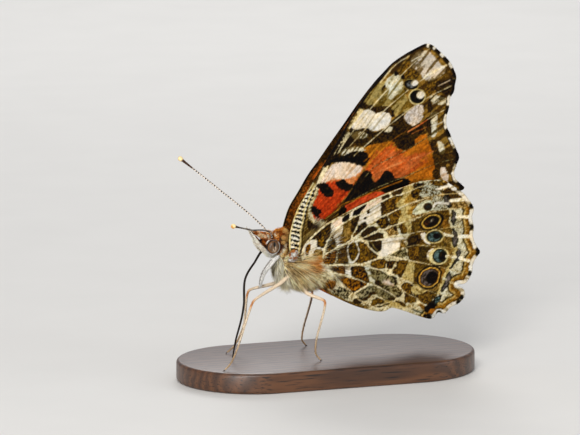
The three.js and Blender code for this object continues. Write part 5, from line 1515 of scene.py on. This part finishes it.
def body_shades(places, region):
    """The three hair colours at each place on the body, 0 to 1."""
    shade = {key: screen(*value) for key, value in SHADES.items()}

    def blend(low, high, share):
        """Mixes two sets of hair colours, given by name or place by place."""
        low, high = [shade[part] if isinstance(part, str) else part for part in (low, high)]
        return low * (1 - share[:, None, None]) + high * share[:, None, None]

    x, y, z = places.T
    _, along, spine, _ = beside(folded(places), PALP)
    above = (0.73 * (x - spine[:, 0]) + 0.68 * (z - spine[:, 2])) / girth(PALP_RADII, along)
    palp = blend("palp", "palp_top", smooth(0.08, 0.26, above))
    frons = blend("frons", "cheek", 1 - smooth(15.5, 15.9, z))
    head = blend("cheek", "crown", smooth(14.9, 15.5, z + 0.35 * (x + 7)))
    # The first head patch is a painted sheen on the frons; the others are pale and dark marks beside the
    # feelers' roots
    for across, high, wide, tall, key in HEAD_PATCHES:
        patch = np.exp(-((x - across) / wide) ** 2 - ((z - high) / tall) ** 2) * smooth(0.2, 0.5, np.abs(y))
        head, frons = [blend(part, key, np.clip(1.3 * patch, 0, 1)) for part in (head, frons)]
    seam = x + 5.8 + 0.5 * (15.2 - z)
    neck = np.exp(-(seam / 0.12) ** 2) * (1 - smooth(15.9, 16.2, z))
    collar = blend("coxa", blend("collar", "nape", 1 - smooth(-0.2, 0.0, seam)), smooth(13.9, 14.8, z))
    collar = blend(collar, "cheek", neck)
    up = z - (THORAX[0][2] - 0.245 * (x - THORAX[0][0]))
    thorax = blend(blend("flank", "back", smooth(1.1, 2.2, up)), "belly", 1 - smooth(-2.3, -1.4, up))
    root = np.exp(-((x + 2.7) / 0.9) ** 2 - ((z - 13.5) / 0.4) ** 2) * smooth(1.2, 1.7, np.abs(y))
    thorax = blend(thorax, "root", np.clip(1.3 * root, 0, 1))
    rise = z - beside(places, ABDOMEN_AXIS)[2][:, 2]
    abdomen = blend("abdomen_belly", "abdomen_side", smooth(-0.9, -0.1, rise))
    abdomen = blend(abdomen, "abdomen_back", smooth(0.1, 0.8, rise))
    coxa = blend("coxa", "belly", 1 - smooth(11.6, 12.6, z))
    return picked([palp, head, collar, thorax, abdomen, coxa, frons], region)


def strand_tints(places, region, random, light=0.42, dark=0.2):
    """One colour for each strand: light, middling or dark as its lock is, and a little of its own."""
    lock = 0.7 * even_ranks(noise(places[:, [0, 2]], 0.3, 9)) + 0.3 * random.random(len(places))
    tone = np.digitize(lock, np.quantile(lock, [light, 1 - dark]))
    tints = body_shades(places, region)[np.arange(len(places)), tone]
    own = 1 + 0.09 * random.standard_normal(len(places))
    return np.clip(tints * own[:, None] * (1.1, 1.1, 1.04) - (0.06, 0.08, 0.11), 0.01, 1)


def body_skin(sizes):
    """Head, palps, thorax, leg roots and abdomen in one closed skin, inside the coat."""
    masses = [limb(ABDOMEN_AXIS, ABDOMEN_RADII, 28, 60)[0]]
    masses.append(limb(FRONS, [r * 0.8 for r in FRONS_RADII], 16, 24)[0])
    for (centre, radii), share, pitch in (
        (THORAX, 1.0, THORAX_PITCH), (COLLAR, 0.6, 0), (HEAD, 0.5, 0), (CROWN, 0.7, 0),
    ):
        masses.append(ball(centre, [r - sizes.coat_depth * share for r in radii], pitch=pitch))
    for fold in ((1, 1, 1), (1, -1, 1)):
        masses.append(limb(np.array(PALP) * fold, [r * 0.82 for r in PALP_RADII], 16, 32)[0])
        for centre, radii in COXAE:
            masses.append(ball(np.array(centre) * fold, [r - 0.08 for r in radii]))
    skin = joined(masses, "body_skin")
    modify(skin, "REMESH", mode="VOXEL", voxel_size=0.09, use_smooth_shade=True)
    modify(skin, "SMOOTH", factor=0.5, iterations=5)
    outward(skin)
    lay_chart(skin.data, np.zeros((len(skin.data.loops), 2)))
    bpy.ops.object.mode_set(mode="EDIT")
    bpy.ops.mesh.select_all(action="SELECT")
    bpy.ops.uv.smart_project(angle_limit=math.radians(66), island_margin=0.004)
    bpy.ops.object.mode_set(mode="OBJECT")
    places = corners(skin)
    shades = body_shades(places, regions(places))
    tint_corners(skin, shades[:, 2] * (0.75 + 0.35 * noise(places[:, [0, 2]], 0.3, 5))[:, None])
    return skin


def lie_of(places, region):
    """Which way the coat lies, from the face backwards."""
    x, y, z = places.T
    side = np.sign(y) * np.minimum(np.abs(y), 1)
    one = np.ones(len(x))
    drop = np.interp(z, [10.9, 12.4, 13.9, 14.8], [1.8, 1.0, 0.12, -0.1])
    drop = drop * (1 - 0.45 * smooth(-4.2, -1.5, x))
    swept = smooth(-7.4, -6.2, x)
    return picked([
        beside(folded(places), PALP)[3] * np.stack([one, np.sign(y), one], 1),
        np.stack([-0.4 + 1.0 * swept, 0.15 * side, np.where(z < 15.2, -0.5, 1.0 - 0.5 * swept)], 1),
        np.stack([0.7 * one, 0.2 * side, -0.35 - 0.3 * np.clip(15.5 - z, -1, 2)], 1),
        np.stack([one, 0.1 * side, -drop], 1),
        np.stack([one, 0 * x, -0.5 * one], 1),
        np.stack([0.25 * one, 0.1 * side, -one], 1),
        np.stack([-0.75 * one, 0.1 * side, 0.62 * one], 1),
    ], region)


def coat(name, skin, number, count, wanted, length, width, lift, curl=0.6, off=0.0, only_where=None):
    """Fur of some regions of the body: roots on the skin, lying as the coat lies."""
    random = seeded(number)

    def density(centres):
        chosen = np.isin(regions(centres), wanted) * (egg_depth(folded(centres), *EYE) > 1.1)
        return chosen * (only_where(centres) if only_where else 1.0) + 1e-12

    roots, normals, charts = skin_samples(skin, count, density, random)
    region = regions(roots)
    lie = lie_of(roots, region) + random.standard_normal(roots.shape) * 0.17
    tints = strand_tints(roots, region, random)
    long = varied(random, length(roots) if callable(length) else length, count, 0.65, 0.7)
    rise = varied(random, math.radians(lift), count, 0.5, 1.0)
    wide = varied(random, width, count, 0.6, 0.8)
    roots = roots + normals * (off - 0.03)
    return sow(name, "hair", roots, normals, lie, long, wide, rise, tints, charts, curl, COAT_SHADE)


def wing_finish():
    """Powdery scales, each a little lighter or darker than the next."""
    f = Finish("wing scales")
    scales = f.cells(0.075)
    fine = f.clouds(0.075, 2.0, 0.7)
    grain = f.clouds(0.2, 3.0, 0.6)
    tone = f.node("ShaderNodeMath", {"operation": "ADD", "use_clamp": True}, {
        0: 0.28 + 0.85 * fine, 1: 0.25 * grain + 0.1 * scales,
    })
    return f.done(
        Base_Color=f.shaded(1 - tone), Roughness=0.7 + 0.2 * grain, Specular_IOR_Level=0.08,
        Normal=f.relief(scales * 0.6 + grain, 0.03, 0.5),
    )


def leg_tints(share, angle, knee):
    """Cream scaled legs with a dark line below and warm knees."""
    cream, dark, warm, foot = screen((230, 208, 178), (84, 60, 42), (212, 140, 80), (176, 140, 98))
    tints = mixed(cream, dark, 0.85 * smooth(0.55, 0.85, np.sin(angle)))
    tints = mixed(tints, warm, np.exp(-((share - knee) / 0.035) ** 2))
    return mixed(tints, foot, 0.7 * smooth(0.72, 0.85, share))


def foreleg_tints(share, angle):
    """The small brush feet: nearly white, with a thin dark line in front."""
    white, dark = screen((252, 249, 242), (70, 56, 44))
    line = smooth(0.9, 0.98, np.cos(angle - FORELEG_LINE)) * (np.sin(share * 80) > -0.4)
    return mixed(white, dark, 0.8 * line)


def leg(points, radii, knee):
    """One leg: thigh, shin and a foot of five joints."""
    def section(share, angle):
        foot = np.clip((share - 0.72) / 0.28, 0, 1)
        joints = 1 - 0.2 * (foot > 0) * np.abs(np.cos(foot * math.pi * 5)) ** 6
        return joints * (1 - 0.3 * np.exp(-((share - knee) / 0.012) ** 2))

    return painted_limb(points, radii, 14, 110, lambda share, angle: leg_tints(share, angle, knee), section)


def thorn(root, direction, length, radius, bend):
    """One curved, pointed claw or spur."""
    direction = direction / np.linalg.norm(direction)
    points = [root + direction * length * t + np.array(bend) * length * t * t for t in (0, 0.35, 0.7, 1)]
    radii = [radius, radius * 0.9, radius * 0.55, radius * 0.12]
    horn, tip = screen((74, 48, 30), (25.5, 15.3, 10.2))
    return painted_limb(points, radii, 8, 12, lambda share, angle: mixed(horn, tip, share))


def claws(points, name):
    """Two claws with the pad between them at the foot's end, and two spurs at the shin's end."""
    line, _ = route(points, 200)
    ahead, side, _ = frames(line)
    spot = int(0.73 * 199)
    pieces = []
    for turn in (-1, 1):
        out = ahead[-1] + side[-1] * turn * 0.75
        pieces.append(thorn(line[-1] - ahead[-1] * 0.05, out, 0.27, 0.045, (0, 0, -0.35)))
        pieces.append(thorn(line[spot], ahead[spot] + side[spot] * turn * 0.5, 0.42, 0.04, (0, 0, -0.1)))
    ends = [line[-1] - ahead[-1] * 0.02, line[-1] + ahead[-1] * 0.14]
    pieces.append(painted_limb(ends, [0.04, 0.09, 0.04], 12, 8, lambda share, angle: screen((60, 40, 26))))
    return joined(pieces, name)


def round_the_limb(points, share, angle, radii, sunk=0.93):
    """Places, outward normals and directions on a limb's surface."""
    line, _ = route(points, 240)
    ahead, side, up = frames(line)
    index = (share * 239).astype(int)
    normal = side[index] * np.cos(angle)[:, None] + up[index] * np.sin(angle)[:, None]
    return line[index] + normal * (girth(radii, share) * sunk)[:, None], normal, ahead[index]


def spines(name, points, shares, number):
    """Short bristles along a limb's lower half."""
    random = seeded(number)
    n = len(shares)
    roots, normal, ahead = round_the_limb(points, shares, random.random(n) * 2 * math.pi, [0.09, 0.09])
    charts = 0.2 + 0.6 * random.random((n, 2))
    tints = np.tile(screen((60, 44, 30)), (n, 1))
    return sow(
        name, "scale", roots, normal, ahead, varied(random, 0.3, n), 0.02, math.radians(38), tints, charts,
    )


def scale_coat(name, points, radii, number, count, length, width, tint_of, lift=14):
    """Flat scales along a limb, lying towards its tip."""
    random = seeded(number)
    share = 0.02 + 0.96 * random.random(count)
    angle = random.random(count) * 2 * math.pi
    roots, normal, ahead = round_the_limb(points, share, angle, radii)
    tints = tint_of(share, angle) * (1 + 0.14 * random.standard_normal(count))[:, None]
    charts = np.stack([share * 0.9 + 0.04, (angle / (2 * math.pi)) * 0.9 + 0.04], 1)
    lengths = varied(random, length, count)
    widths = varied(random, width, count, 0.8, 0.4)
    lifts = varied(random, math.radians(lift), count, 0.6, 0.8)
    return sow(
        name, "scale", roots, normal, ahead, lengths, widths, lifts, tints, charts, shade=0.75, flat=0.35,
    )


def limb_finish(name, roughness=0.5, pitch=0.07, bumps=0.015, shine=0.4):
    f = Finish(name)
    grain = f.clouds(pitch, 3.0, 0.6)
    return f.done(
        Base_Color=f.shaded(0.3 * (1 - grain)), Roughness=roughness + 0.25 * grain,
        Specular_IOR_Level=shine, Normal=f.relief(grain + 0.5 * f.cells(pitch * 0.8), bumps, 0.6),
    )


def eye_finish():
    """A glossy faceted eye."""
    f = Finish("compound eye")
    facets = f.cells(0.028)
    return f.done(
        Base_Color=f.shaded(0.0), Roughness=0.34 + 0.1 * facets, Specular_IOR_Level=0.25, Coat_Weight=0.2,
        Coat_Roughness=0.2, Normal=f.relief(1 - facets, 0.006, 0.5),
    )


def eye(side):
    """One eye: brown rim, upright pale streaks towards its middle that are a painted highlight, and the
    dark spots of a living eye.
    """
    centre, radii = np.array(EYE[0]) * (1, side, 1), np.array(EYE[1]) * 0.97
    piece = ball(centre, radii, 96, 64)
    across, facing, up = ((corners(piece) - centre) / radii).T * [[1], [side], [1]]
    brown, lilac, rim, copper = screen((78, 52, 28), (178, 158, 136), (30, 18, 10), (132, 84, 40))
    # Pale lilac upright streaks, strongest a little below the eye's middle: a painted highlight
    streaks = noise(np.stack([across, 0.22 * up], 1), 0.13, 31)
    eye_highlight = 1 - smooth(0.2, 0.85, np.hypot(across, up + 0.2))
    tints = mixed(brown, lilac, np.clip(eye_highlight * (0.1 + 1.1 * smooth(0.4, 0.65, streaks)), 0, 1))
    spots = np.zeros(len(across))
    for cx, cz, wide, tall, weight in EYE_SPOTS:
        away = np.hypot((across - cx) / wide, (up - cz) / tall)
        spots = np.maximum(spots, weight * (1 - smooth(0.6, 1.25, away)) * (facing > 0))
    tints = tints * (1 - 0.92 * spots[:, None])
    tints = mixed(tints, copper, 0.7 * np.exp(-((np.hypot(across, up) - 0.84) / 0.06) ** 2))
    tint_corners(piece, mixed(rim, tints, smooth(0.3, 0.52, facing)))
    outward(piece)
    return piece


def eye_ring(side, number):
    """The pale scales round the eye."""
    random = seeded(number)
    turn = np.radians(random.uniform(-140, 150, EYE_RING_SCALES))
    n = len(turn)
    centre, (rx, _, rz) = np.array(EYE[0]) * (1, side, 1), EYE[1]
    out = np.array((0, side, 0))
    spread = 1.0 + (0.06 + 0.17 * smooth(-0.2, 0.9, np.cos(turn + 0.7))) * random.random(n)
    around = np.stack([np.cos(turn), 0 * turn, np.sin(turn)], 1)
    roots = centre + around * (rx, 0, rz) * spread[:, None] - out * (0.05 + 1.1 * (spread - 1))[:, None]
    run = np.stack([-np.sin(turn), 0 * turn, np.cos(turn)], 1)
    lie = around * 0.5 - run * np.sign(np.cos(turn))[:, None] + random.standard_normal((n, 3)) * 0.15
    top = smooth(0.35, 0.9, np.sin(turn)) * (1 - smooth(0.92, 1.0, np.abs(np.cos(turn + 0.9))))
    tints = mixed(*screen((246, 242, 234), (150, 88, 40)), (random.random(n) < 0.85 * top) * 1.0)
    tints = tints * (0.86 + 0.2 * random.random(n))[:, None]
    return sow(
        f"eye_ring_{number}", "scale", roots, around * 0.6 + out * 0.8, lie, varied(random, 0.17, n), 0.036,
        math.radians(16), tints, 0.5 + 0.4 * around[:, [0, 2]] * spread[:, None], shade=0.85, flat=0.4,
    )


def hinge_cap(side, number):
    """The pale cap over a wing's hinge, orange scales round it and a pale bar below."""
    random = seeded(number)
    centre = np.array(HINGE_SPOT) * (1, side, 1)
    n, below = 700, 260
    turn, away = 2 * math.pi * random.random(n), 0.52 * np.sqrt(random.random(n))
    run = random.uniform(-1, 1, below)
    across = np.append(np.cos(turn) * away, run * 0.5 - 0.1)
    up = np.append(np.sin(turn) * away, -0.62 + 0.1 * run ** 2 + 0.05 * random.standard_normal(below))
    around = np.stack([across, 0 * across, up], 1)
    out = np.tile(np.array((0.0, side, 0.0)), (n + below, 1))
    roots = centre + around + out * (0.1 - 0.45 * np.minimum(np.hypot(across, up), 0.5))[:, None]
    white, orange = screen((255, 250, 240), (216, 132, 62))
    ring = smooth(0.2, 0.26, away) * (noise(np.stack([across[:n], up[:n]], 1), 0.2, 6) > 0.48)
    tints = mixed(white, orange, np.append(ring, np.zeros(below)))
    tints = tints * (0.78 + 0.34 * random.random(n + below))[:, None]
    tufts = sow(
        "hinge_tufts", "scale", roots, out, around + (0.5, 0, -0.25), varied(random, 0.22, n + below),
        0.035, math.radians(14), tints, 0.5 + around[:, [0, 2]] * 0.6, flat=0.4,
    )
    ends = [centre - (0.12, 0, 0.02), centre + (0.12, 0, 0.02)]
    cap = painted_limb(ends, [0.06, 0.14, 0.06], 16, 14, lambda share, angle: white * 0.9)
    return joined([tufts, cap], f"hinge_cap_{number}")


def antenna(points, dark):
    """A ringed stalk that ends in a dark club with a pale ball tip."""
    radii = np.interp(np.linspace(0, 1, 120), *zip(*ANTENNA_RADII))
    black, pale, brown, cream, amber = screen(
        (18, 11, 8), (240, 226, 210), (60, 36, 20), (246, 222, 168), (206, 148, 74))

    def ringed(share):
        return np.abs(np.cos(share * math.pi * 42))

    def tint_of(share, angle):
        # dark paints a shaded copy of the feeler, a black stalk with pale rings; otherwise a lit copy, a
        # pale stalk with black rings. One side is black, as on the real feeler, more so on the shaded copy.
        stalk, band = (black, pale) if dark else (pale, black)
        tints = mixed(stalk, band, (ringed(share) > (0.95 if dark else 0.82)) * 1.0)
        tints = mixed(tints, black, (0.7 if dark else 0.25) * smooth(0.2, 0.8, -np.sin(angle)))
        tints = mixed(tints, brown, smooth(0.83, 0.88, share))
        tip = mixed(cream, amber, smooth(-0.1, 0.7, np.sin(angle + 0.6)))
        return mixed(tints, tip, smooth(0.95, 0.962, share))

    return painted_limb(points, radii, 14, 300, tint_of, lambda share, angle: 1 - 0.1 * ringed(share) ** 5)


def proboscis():
    """The two half tubes of the uncoiled tongue, joined along a groove and finely ringed."""
    def section(share, angle):
        groove = 1 - 0.22 * np.exp(-(np.sin(angle) / 0.22) ** 2)
        return groove * (1 - 0.04 * np.abs(np.cos(share * math.pi * 90)))

    def tint_of(share, angle):
        # Black, with a brown line down the groove on both faces: a painted highlight
        return mixed(*screen((18, 12, 9), (120, 78, 36)), 0.35 * np.exp(-(np.sin(angle) / 0.18) ** 2))

    return painted_limb(PROBOSCIS, PROBOSCIS_RADII, 20, 200, tint_of, section)


def display_base(sizes):
    """A flat oblong of dark wood with half-round ends and an eased edge."""
    clear_selection()
    bpy.ops.mesh.primitive_circle_add(vertices=128, radius=sizes.width / 2, fill_type="NGON")
    slab = bpy.context.object
    places = corners(slab)
    places[:, 0] += np.sign(places[:, 0]) * (sizes.length - sizes.width) / 2 * (np.abs(places[:, 0]) > 1e-4)
    move_corners(slab, places)
    bpy.ops.object.mode_set(mode="EDIT")
    bpy.ops.mesh.select_all(action="SELECT")
    bpy.ops.mesh.extrude_region_move(TRANSFORM_OT_translate={"value": (0, 0, sizes.height)})
    bpy.ops.object.mode_set(mode="OBJECT")
    modify(slab, "BEVEL", width=0.38, segments=5, limit_method="ANGLE", angle_limit=math.radians(50))
    outward(slab)
    return slab


def wood_finish():
    """Dark walnut, satin, with fine pores along the grain."""
    f = Finish("dark walnut")
    grain = f.clouds(1.1, 6.0, 0.62, (0.12, 1.0, 1.0))
    pores = f.clouds(0.16, stretch=(0.05, 1.0, 1.0))
    stripes = f.node("ShaderNodeTexWave", {"wave_type": "BANDS", "bands_direction": "Y"}, {
        "Vector": f.stretched((0.15, 1.0, 1.0)), "Scale": 300.0, "Distortion": 9.0, "Detail": 3.0,
        "Detail Scale": 1.2,
    }, "Fac")
    base = f.blend(linear((46, 26, 15)), linear((96, 60, 34)), 0.55 * stripes + 0.45 * grain)
    pitted = f.node("ShaderNodeMapRange", None, {0: pores, 1: 0.55, 2: 0.7})
    return f.done(
        Base_Color=f.blend(base, linear((20, 11, 7)), pitted), Roughness=0.34 + 0.2 * pores,
        Specular_IOR_Level=0.5, Coat_Weight=0.25, Coat_Roughness=0.25,
        Normal=f.relief(grain - pores, 0.02, 0.35),
    )


def floor_finish():
    f = Finish("pale floor")
    grain = f.clouds(12.0, 3.0)
    tint = f.blend(linear((216, 214, 210)), linear((222, 220, 216)), grain)
    return f.done(Base_Color=tint, Roughness=0.75 + 0.1 * grain, Specular_IOR_Level=0.2)


class WingSizes(bpy.types.PropertyGroup):
    pitch: FloatProperty(
        name="Mesh pitch", description="Spacing of the wing mesh, mm", default=0.105, min=0.05)
    thickness: FloatProperty(
        name="Membrane", description="Thickness of a wing between its veins, mm", default=0.12)
    ridge: FloatProperty(name="Vein height", description="How far the veins stand out, mm", default=0.07)
    pleat: FloatProperty(
        name="Pleats", description="Depth of the troughs between veins, mm", default=0.07)
    billow: FloatProperty(name="Billow", description="Slow waves of the whole membrane, mm", default=0.16)
    fringe_pitch: FloatProperty(
        name="Fringe pitch", description="Room for each scale of the fringe, mm", default=0.06)
    root_hairs: IntProperty(
        name="Root hairs", description="Number of hairs at each wing's root", default=1500)


class CoatSizes(bpy.types.PropertyGroup):
    coat_depth: FloatProperty(
        name="Coat depth", description="How far the skin lies inside the coat, mm", default=0.32)
    hair_width: FloatProperty(
        name="Hair width", description="Half width of a body hair, mm", default=0.034)
    thorax_hairs: IntProperty(
        name="Thorax hairs", description="Number of hairs on the thorax", default=8800)
    breast_hairs: IntProperty(
        name="Breast hairs", description="Number of hairs on the leg roots", default=2600)
    flank_hairs: IntProperty(
        name="Flank hairs", description="Longer hairs below the wings' hinges", default=3200)
    abdomen_hairs: IntProperty(name="Abdomen hairs", description="Number on the abdomen", default=7000)
    head_hairs: IntProperty(
        name="Head hairs", description="Number on head, frons and collar", default=9000)
    palp_hairs: IntProperty(name="Palp hairs", description="Number on the two palps", default=4500)


class BaseSizes(bpy.types.PropertyGroup):
    length: FloatProperty(name="Length", description="Length of the display base, mm", default=36.0)
    width: FloatProperty(name="Width", description="Width of the display base, mm", default=18.0)
    height: FloatProperty(name="Height", description="Height of the display base, mm", default=2.4)


class StageSizes(bpy.types.PropertyGroup):
    aim: FloatVectorProperty(
        name="Aim", description="Point at the picture's middle, mm", default=(-4.5, 0, 18.8))
    turn: FloatProperty(
        name="Turn", description="Camera's turn to the head", default=math.radians(20), subtype="ANGLE")
    rise: FloatProperty(
        name="Rise", description="Camera's height angle", default=math.radians(10), subtype="ANGLE")
    away: FloatProperty(name="Distance", description="Camera's distance, mm", default=600.0)
    view_width: FloatProperty(name="View width", description="Width seen at the aim, mm", default=67.28)


def settings():
    scene = bpy.context.scene
    return scene.lady_wings, scene.lady_coat, scene.lady_base, scene.lady_stage


class BUTTERFLY_OT_base(bpy.types.Operator):
    """Adds the oblong display base"""
    bl_idname = "butterfly.base"
    bl_label = "Display Base"

    def execute(self, context):
        slab = display_base(settings()[2])
        settle(slab, "display_base", wood_finish(), "base_wood", "stand_base", smooth_faces=False)
        only(slab)
        bpy.ops.object.shade_smooth_by_angle(angle=math.radians(30))
        return {"FINISHED"}


class BUTTERFLY_OT_wings(bpy.types.Operator):
    """Adds the four scaled wings"""
    bl_idname = "butterfly.wings"
    bl_label = "Wings"

    def execute(self, context):
        sizes = settings()[0]
        finish, fur = wing_finish(), fur_finish("wing hair", 0.6)
        for number, (name, shape) in enumerate((("forewing", FOREWING), ("hindwing", HINDWING))):
            near_wing = wing(name, shape, sizes)
            tufts = [fringe(name, shape, sizes, 60 + number), root_hair(name, shape, sizes, 70 + number)]
            pairs = {"left": (near_wing, joined(tufts, f"{name}_fur"))}
            pairs["right"] = [far_copy(piece, shape["hinge"]) for piece in pairs["left"]]
            for side, (sheet, hair) in pairs.items():
                settle(sheet, f"{name}_{side}_scaled", finish, "wing_scales", f"{name}_{side}")
                settle(hair, f"{name}_{side}_fringe", fur, "wing_scales")
        return {"FINISHED"}


class BUTTERFLY_OT_body(bpy.types.Operator):
    """Adds the skin of head, thorax, abdomen and palps, and its coat"""
    bl_idname = "butterfly.body"
    bl_label = "Body and Fur"

    def execute(self, context):
        sizes = settings()[1]
        skin = body_skin(sizes)
        width = sizes.hair_width
        fur = fur_finish("body hair")
        head_fur = fur_finish("head hair", 0.5)

        def side_length(at):
            return 0.8 + 0.9 * (1 - smooth(12.4, 14.6, at[:, 2]))

        def flank(at):
            near = np.exp(-((at[:, 0] + 3.0) / 1.3) ** 2 - ((at[:, 2] - 12.9) / 1.0) ** 2)
            return near * (np.abs(at[:, 1]) > 1.2)

        def head_length(at):
            return 0.42 + 0.42 * smooth(16.5, 17.3, at[:, 2]) * smooth(-7.4, -6.4, at[:, 0])

        body_coats = [
            coat("thorax_fur", skin, 1, sizes.thorax_hairs, [THORAX_REGION], side_length, width, 20),
            coat("breast_fur", skin, 6, sizes.breast_hairs, [COXA_REGION], side_length, width, 20),
            coat("flank_fur", skin, 5, sizes.flank_hairs, [THORAX_REGION], 1.7, width, 24, 0.4, 0.3, flank),
            coat("abdomen_fur", skin, 2, sizes.abdomen_hairs, [ABDOMEN_REGION], 0.55, width * 0.8, 14),
        ]
        head_masses = [HEAD_REGION, COLLAR_REGION, FRONS_REGION]
        head_coats = [
            coat("head_fur", skin, 3, sizes.head_hairs, head_masses, head_length, width * 0.7, 32),
            coat("palp_fur", skin, 4, sizes.palp_hairs, [PALP_REGION], 0.36, width * 0.62, 14),
        ]
        coats = [(piece, fur, "body_hair") for piece in body_coats]
        coats += [(piece, head_fur, "head_hair") for piece in head_coats]
        settle(skin, "body_skin", limb_finish("skin under the coat", 0.6), "body_hair",
               "head", "thorax", "abdomen", "palp_left", "palp_right")
        for number, (name, side) in enumerate((("left", -1), ("right", 1))):
            coats.append((hinge_cap(side, 50 + number), fur, "body_hair"))
            coats[-1][0].name = f"hinge_cap_{name}"
        for piece, finish, slot in coats:
            settle(piece, piece.name, finish, slot)
        return {"FINISHED"}


class BUTTERFLY_OT_head_parts(bpy.types.Operator):
    """Adds eyes, antennae and proboscis"""
    bl_idname = "butterfly.head_parts"
    bl_label = "Eyes and Feelers"

    def execute(self, context):
        gloss, pale = eye_finish(), fur_finish("eye ring scales", 0.5)
        for number, (name, side) in enumerate((("left", -1), ("right", 1))):
            settle(eye(side), f"faceted_eye_{name}", gloss, "eye", f"eye_{name}")
            settle(eye_ring(side, 80 + number), f"eye_ring_{name}", pale, "head_hair")
        horn = limb_finish("ringed feeler", 0.42, 0.05, 0.008, 0.18)
        for name, points in ANTENNAE.items():
            # The two feelers are alike: the left one is painted in shade and the right one in light
            piece = antenna(points, name == "left")
            settle(piece, f"ringed_antenna_{name}", horn, "feeler", f"antenna_{name}")
        settle(proboscis(), "ringed_proboscis", horn, "feeler", "proboscis")
        return {"FINISHED"}


class BUTTERFLY_OT_legs(bpy.types.Operator):
    """Adds the six legs with their scales, bristles and claws"""
    bl_idname = "butterfly.legs"
    bl_label = "Legs"

    def execute(self, context):
        finish = limb_finish("scaled leg", 0.5, 0.06, 0.012)
        horn = limb_finish("claw", 0.35, 0.04, 0.004)
        fur = fur_finish("leg scales", 0.5)
        for number, (name, points) in enumerate(LEGS.items()):
            line, _ = route(points, 200)
            knee = float(np.argmin(np.linalg.norm(line - np.array(points[3]), axis=1))) / 199

            def tint_of(share, angle, knee=knee):
                return leg_tints(share, angle, knee)

            scales = scale_coat(
                f"{name}_scales", points, LEG_RADII, 20 + number, 1800, 0.16, 0.028, tint_of)
            thorns = spines(f"{name}_spines", points, np.linspace(knee + 0.03, 0.97, 44), 30 + number)
            settle(leg(points, LEG_RADII, knee), f"{name}_jointed", finish, "leg", name)
            settle(claws(points, f"{name}_claws"), f"{name}_claws", horn, "feeler")
            settle(joined([scales, thorns], f"{name}_scales"), f"{name}_scales", fur, "leg")
        paths = {"left": np.array(FORELEG) * (1, -1, 1), "right": np.array(FORELEG) + FORELEG_RIGHT_SHIFT}
        for number, (side, points) in enumerate(paths.items()):
            piece = painted_limb(points, FORELEG_RADII, 16, 48, foreleg_tints)
            scales = scale_coat(
                f"foreleg_{side}_scales", points, FORELEG_RADII, 40 + number, 2200, 0.34, 0.024,
                foreleg_tints, 20)
            settle(piece, f"foreleg_{side}_jointed", finish, "leg", f"foreleg_{side}")
            settle(scales, f"foreleg_{side}_scales", fur, "leg")
        return {"FINISHED"}


def light(name, place, aim, size, power, tint=(1, 1, 1)):
    data = bpy.data.lights.new(name, "AREA")
    data.shape = "DISK"
    data.size = size * MM
    data.energy = power
    data.color = tint
    lamp = bpy.data.objects.new(name, data)
    lamp.location = Vector(place) * MM
    lamp.rotation_euler = (Vector(place) - Vector(aim)).to_track_quat("Z", "Y").to_euler()
    bpy.context.collection.objects.link(lamp)


class BUTTERFLY_OT_stage(bpy.types.Operator):
    """Adds the pale floor, the soft lights and the camera"""
    bl_idname = "butterfly.stage"
    bl_label = "Stage"

    def execute(self, context):
        stage = settings()[3]
        clear_selection()
        bpy.ops.mesh.primitive_plane_add(size=6)
        floor = bpy.context.object
        floor.name = "studio_floor"
        floor.data.materials.append(floor_finish())
        aim = Vector(stage.aim)
        turn, rise = stage.turn, stage.rise
        back = Vector((-math.sin(turn) * math.cos(rise), -math.cos(turn) * math.cos(rise), math.sin(rise)))
        data = bpy.data.cameras.new("museum view")
        data.sensor_width = 36
        data.lens = 36 * stage.away / stage.view_width
        data.clip_start, data.clip_end = 0.01, 20
        camera = bpy.data.objects.new("museum view", data)
        camera.location = (aim + back * stage.away) * MM
        camera.rotation_euler = back.to_track_quat("Z", "Y").to_euler()
        context.collection.objects.link(camera)
        context.scene.camera = camera
        light("key", (-220, -400, 330), (0, 0, 15), 220, 1.9, (1.0, 0.98, 0.95))
        light("fill", (380, -260, 140), (0, 0, 15), 300, 0.45, (0.94, 0.97, 1.0))
        light("front", (-330, -380, 30), (-5, 0, 14), 200, 1.9, (1.0, 0.98, 0.96))
        light("back", (120, 360, 300), (0, 0, 20), 240, 0.8)
        world = bpy.data.worlds.new("studio")
        world.use_nodes = True
        world.node_tree.nodes["Background"].inputs["Color"].default_value = (0.93, 0.95, 1.0, 1)
        world.node_tree.nodes["Background"].inputs["Strength"].default_value = 0.42
        context.scene.world = world
        context.scene.view_settings.view_transform = "Standard"
        return {"FINISHED"}


class BUTTERFLY_PT_panel(bpy.types.Panel):
    """Lists the butterfly's pieces"""
    bl_idname = "BUTTERFLY_PT_panel"
    bl_label = "Painted Lady"
    bl_space_type = "VIEW_3D"
    bl_region_type = "UI"
    bl_category = "Butterfly"

    def draw(self, context):
        for group in settings():
            box = self.layout.box()
            for key in group.__annotations__:
                box.prop(group, key)
        for operator in STEPS:
            self.layout.operator(operator.bl_idname)


GROUPS = {"lady_wings": WingSizes, "lady_coat": CoatSizes, "lady_base": BaseSizes, "lady_stage": StageSizes}
STEPS = [
    BUTTERFLY_OT_base, BUTTERFLY_OT_wings, BUTTERFLY_OT_body, BUTTERFLY_OT_head_parts, BUTTERFLY_OT_legs,
    BUTTERFLY_OT_stage,
]


def register():
    for item in (*GROUPS.values(), *STEPS, BUTTERFLY_PT_panel):
        bpy.utils.register_class(item)
    for key, group in GROUPS.items():
        setattr(bpy.types.Scene, key, PointerProperty(type=group))


def unregister():
    for key in GROUPS:
        delattr(bpy.types.Scene, key)
    for item in (BUTTERFLY_PT_panel, *reversed(STEPS), *GROUPS.values()):
        bpy.utils.unregister_class(item)


def main():
    register()
    for step in STEPS:
        group, action = step.bl_idname.split(".")
        getattr(getattr(bpy.ops, group), action)()
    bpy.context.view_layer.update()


if __name__ == "__main__":
    main()
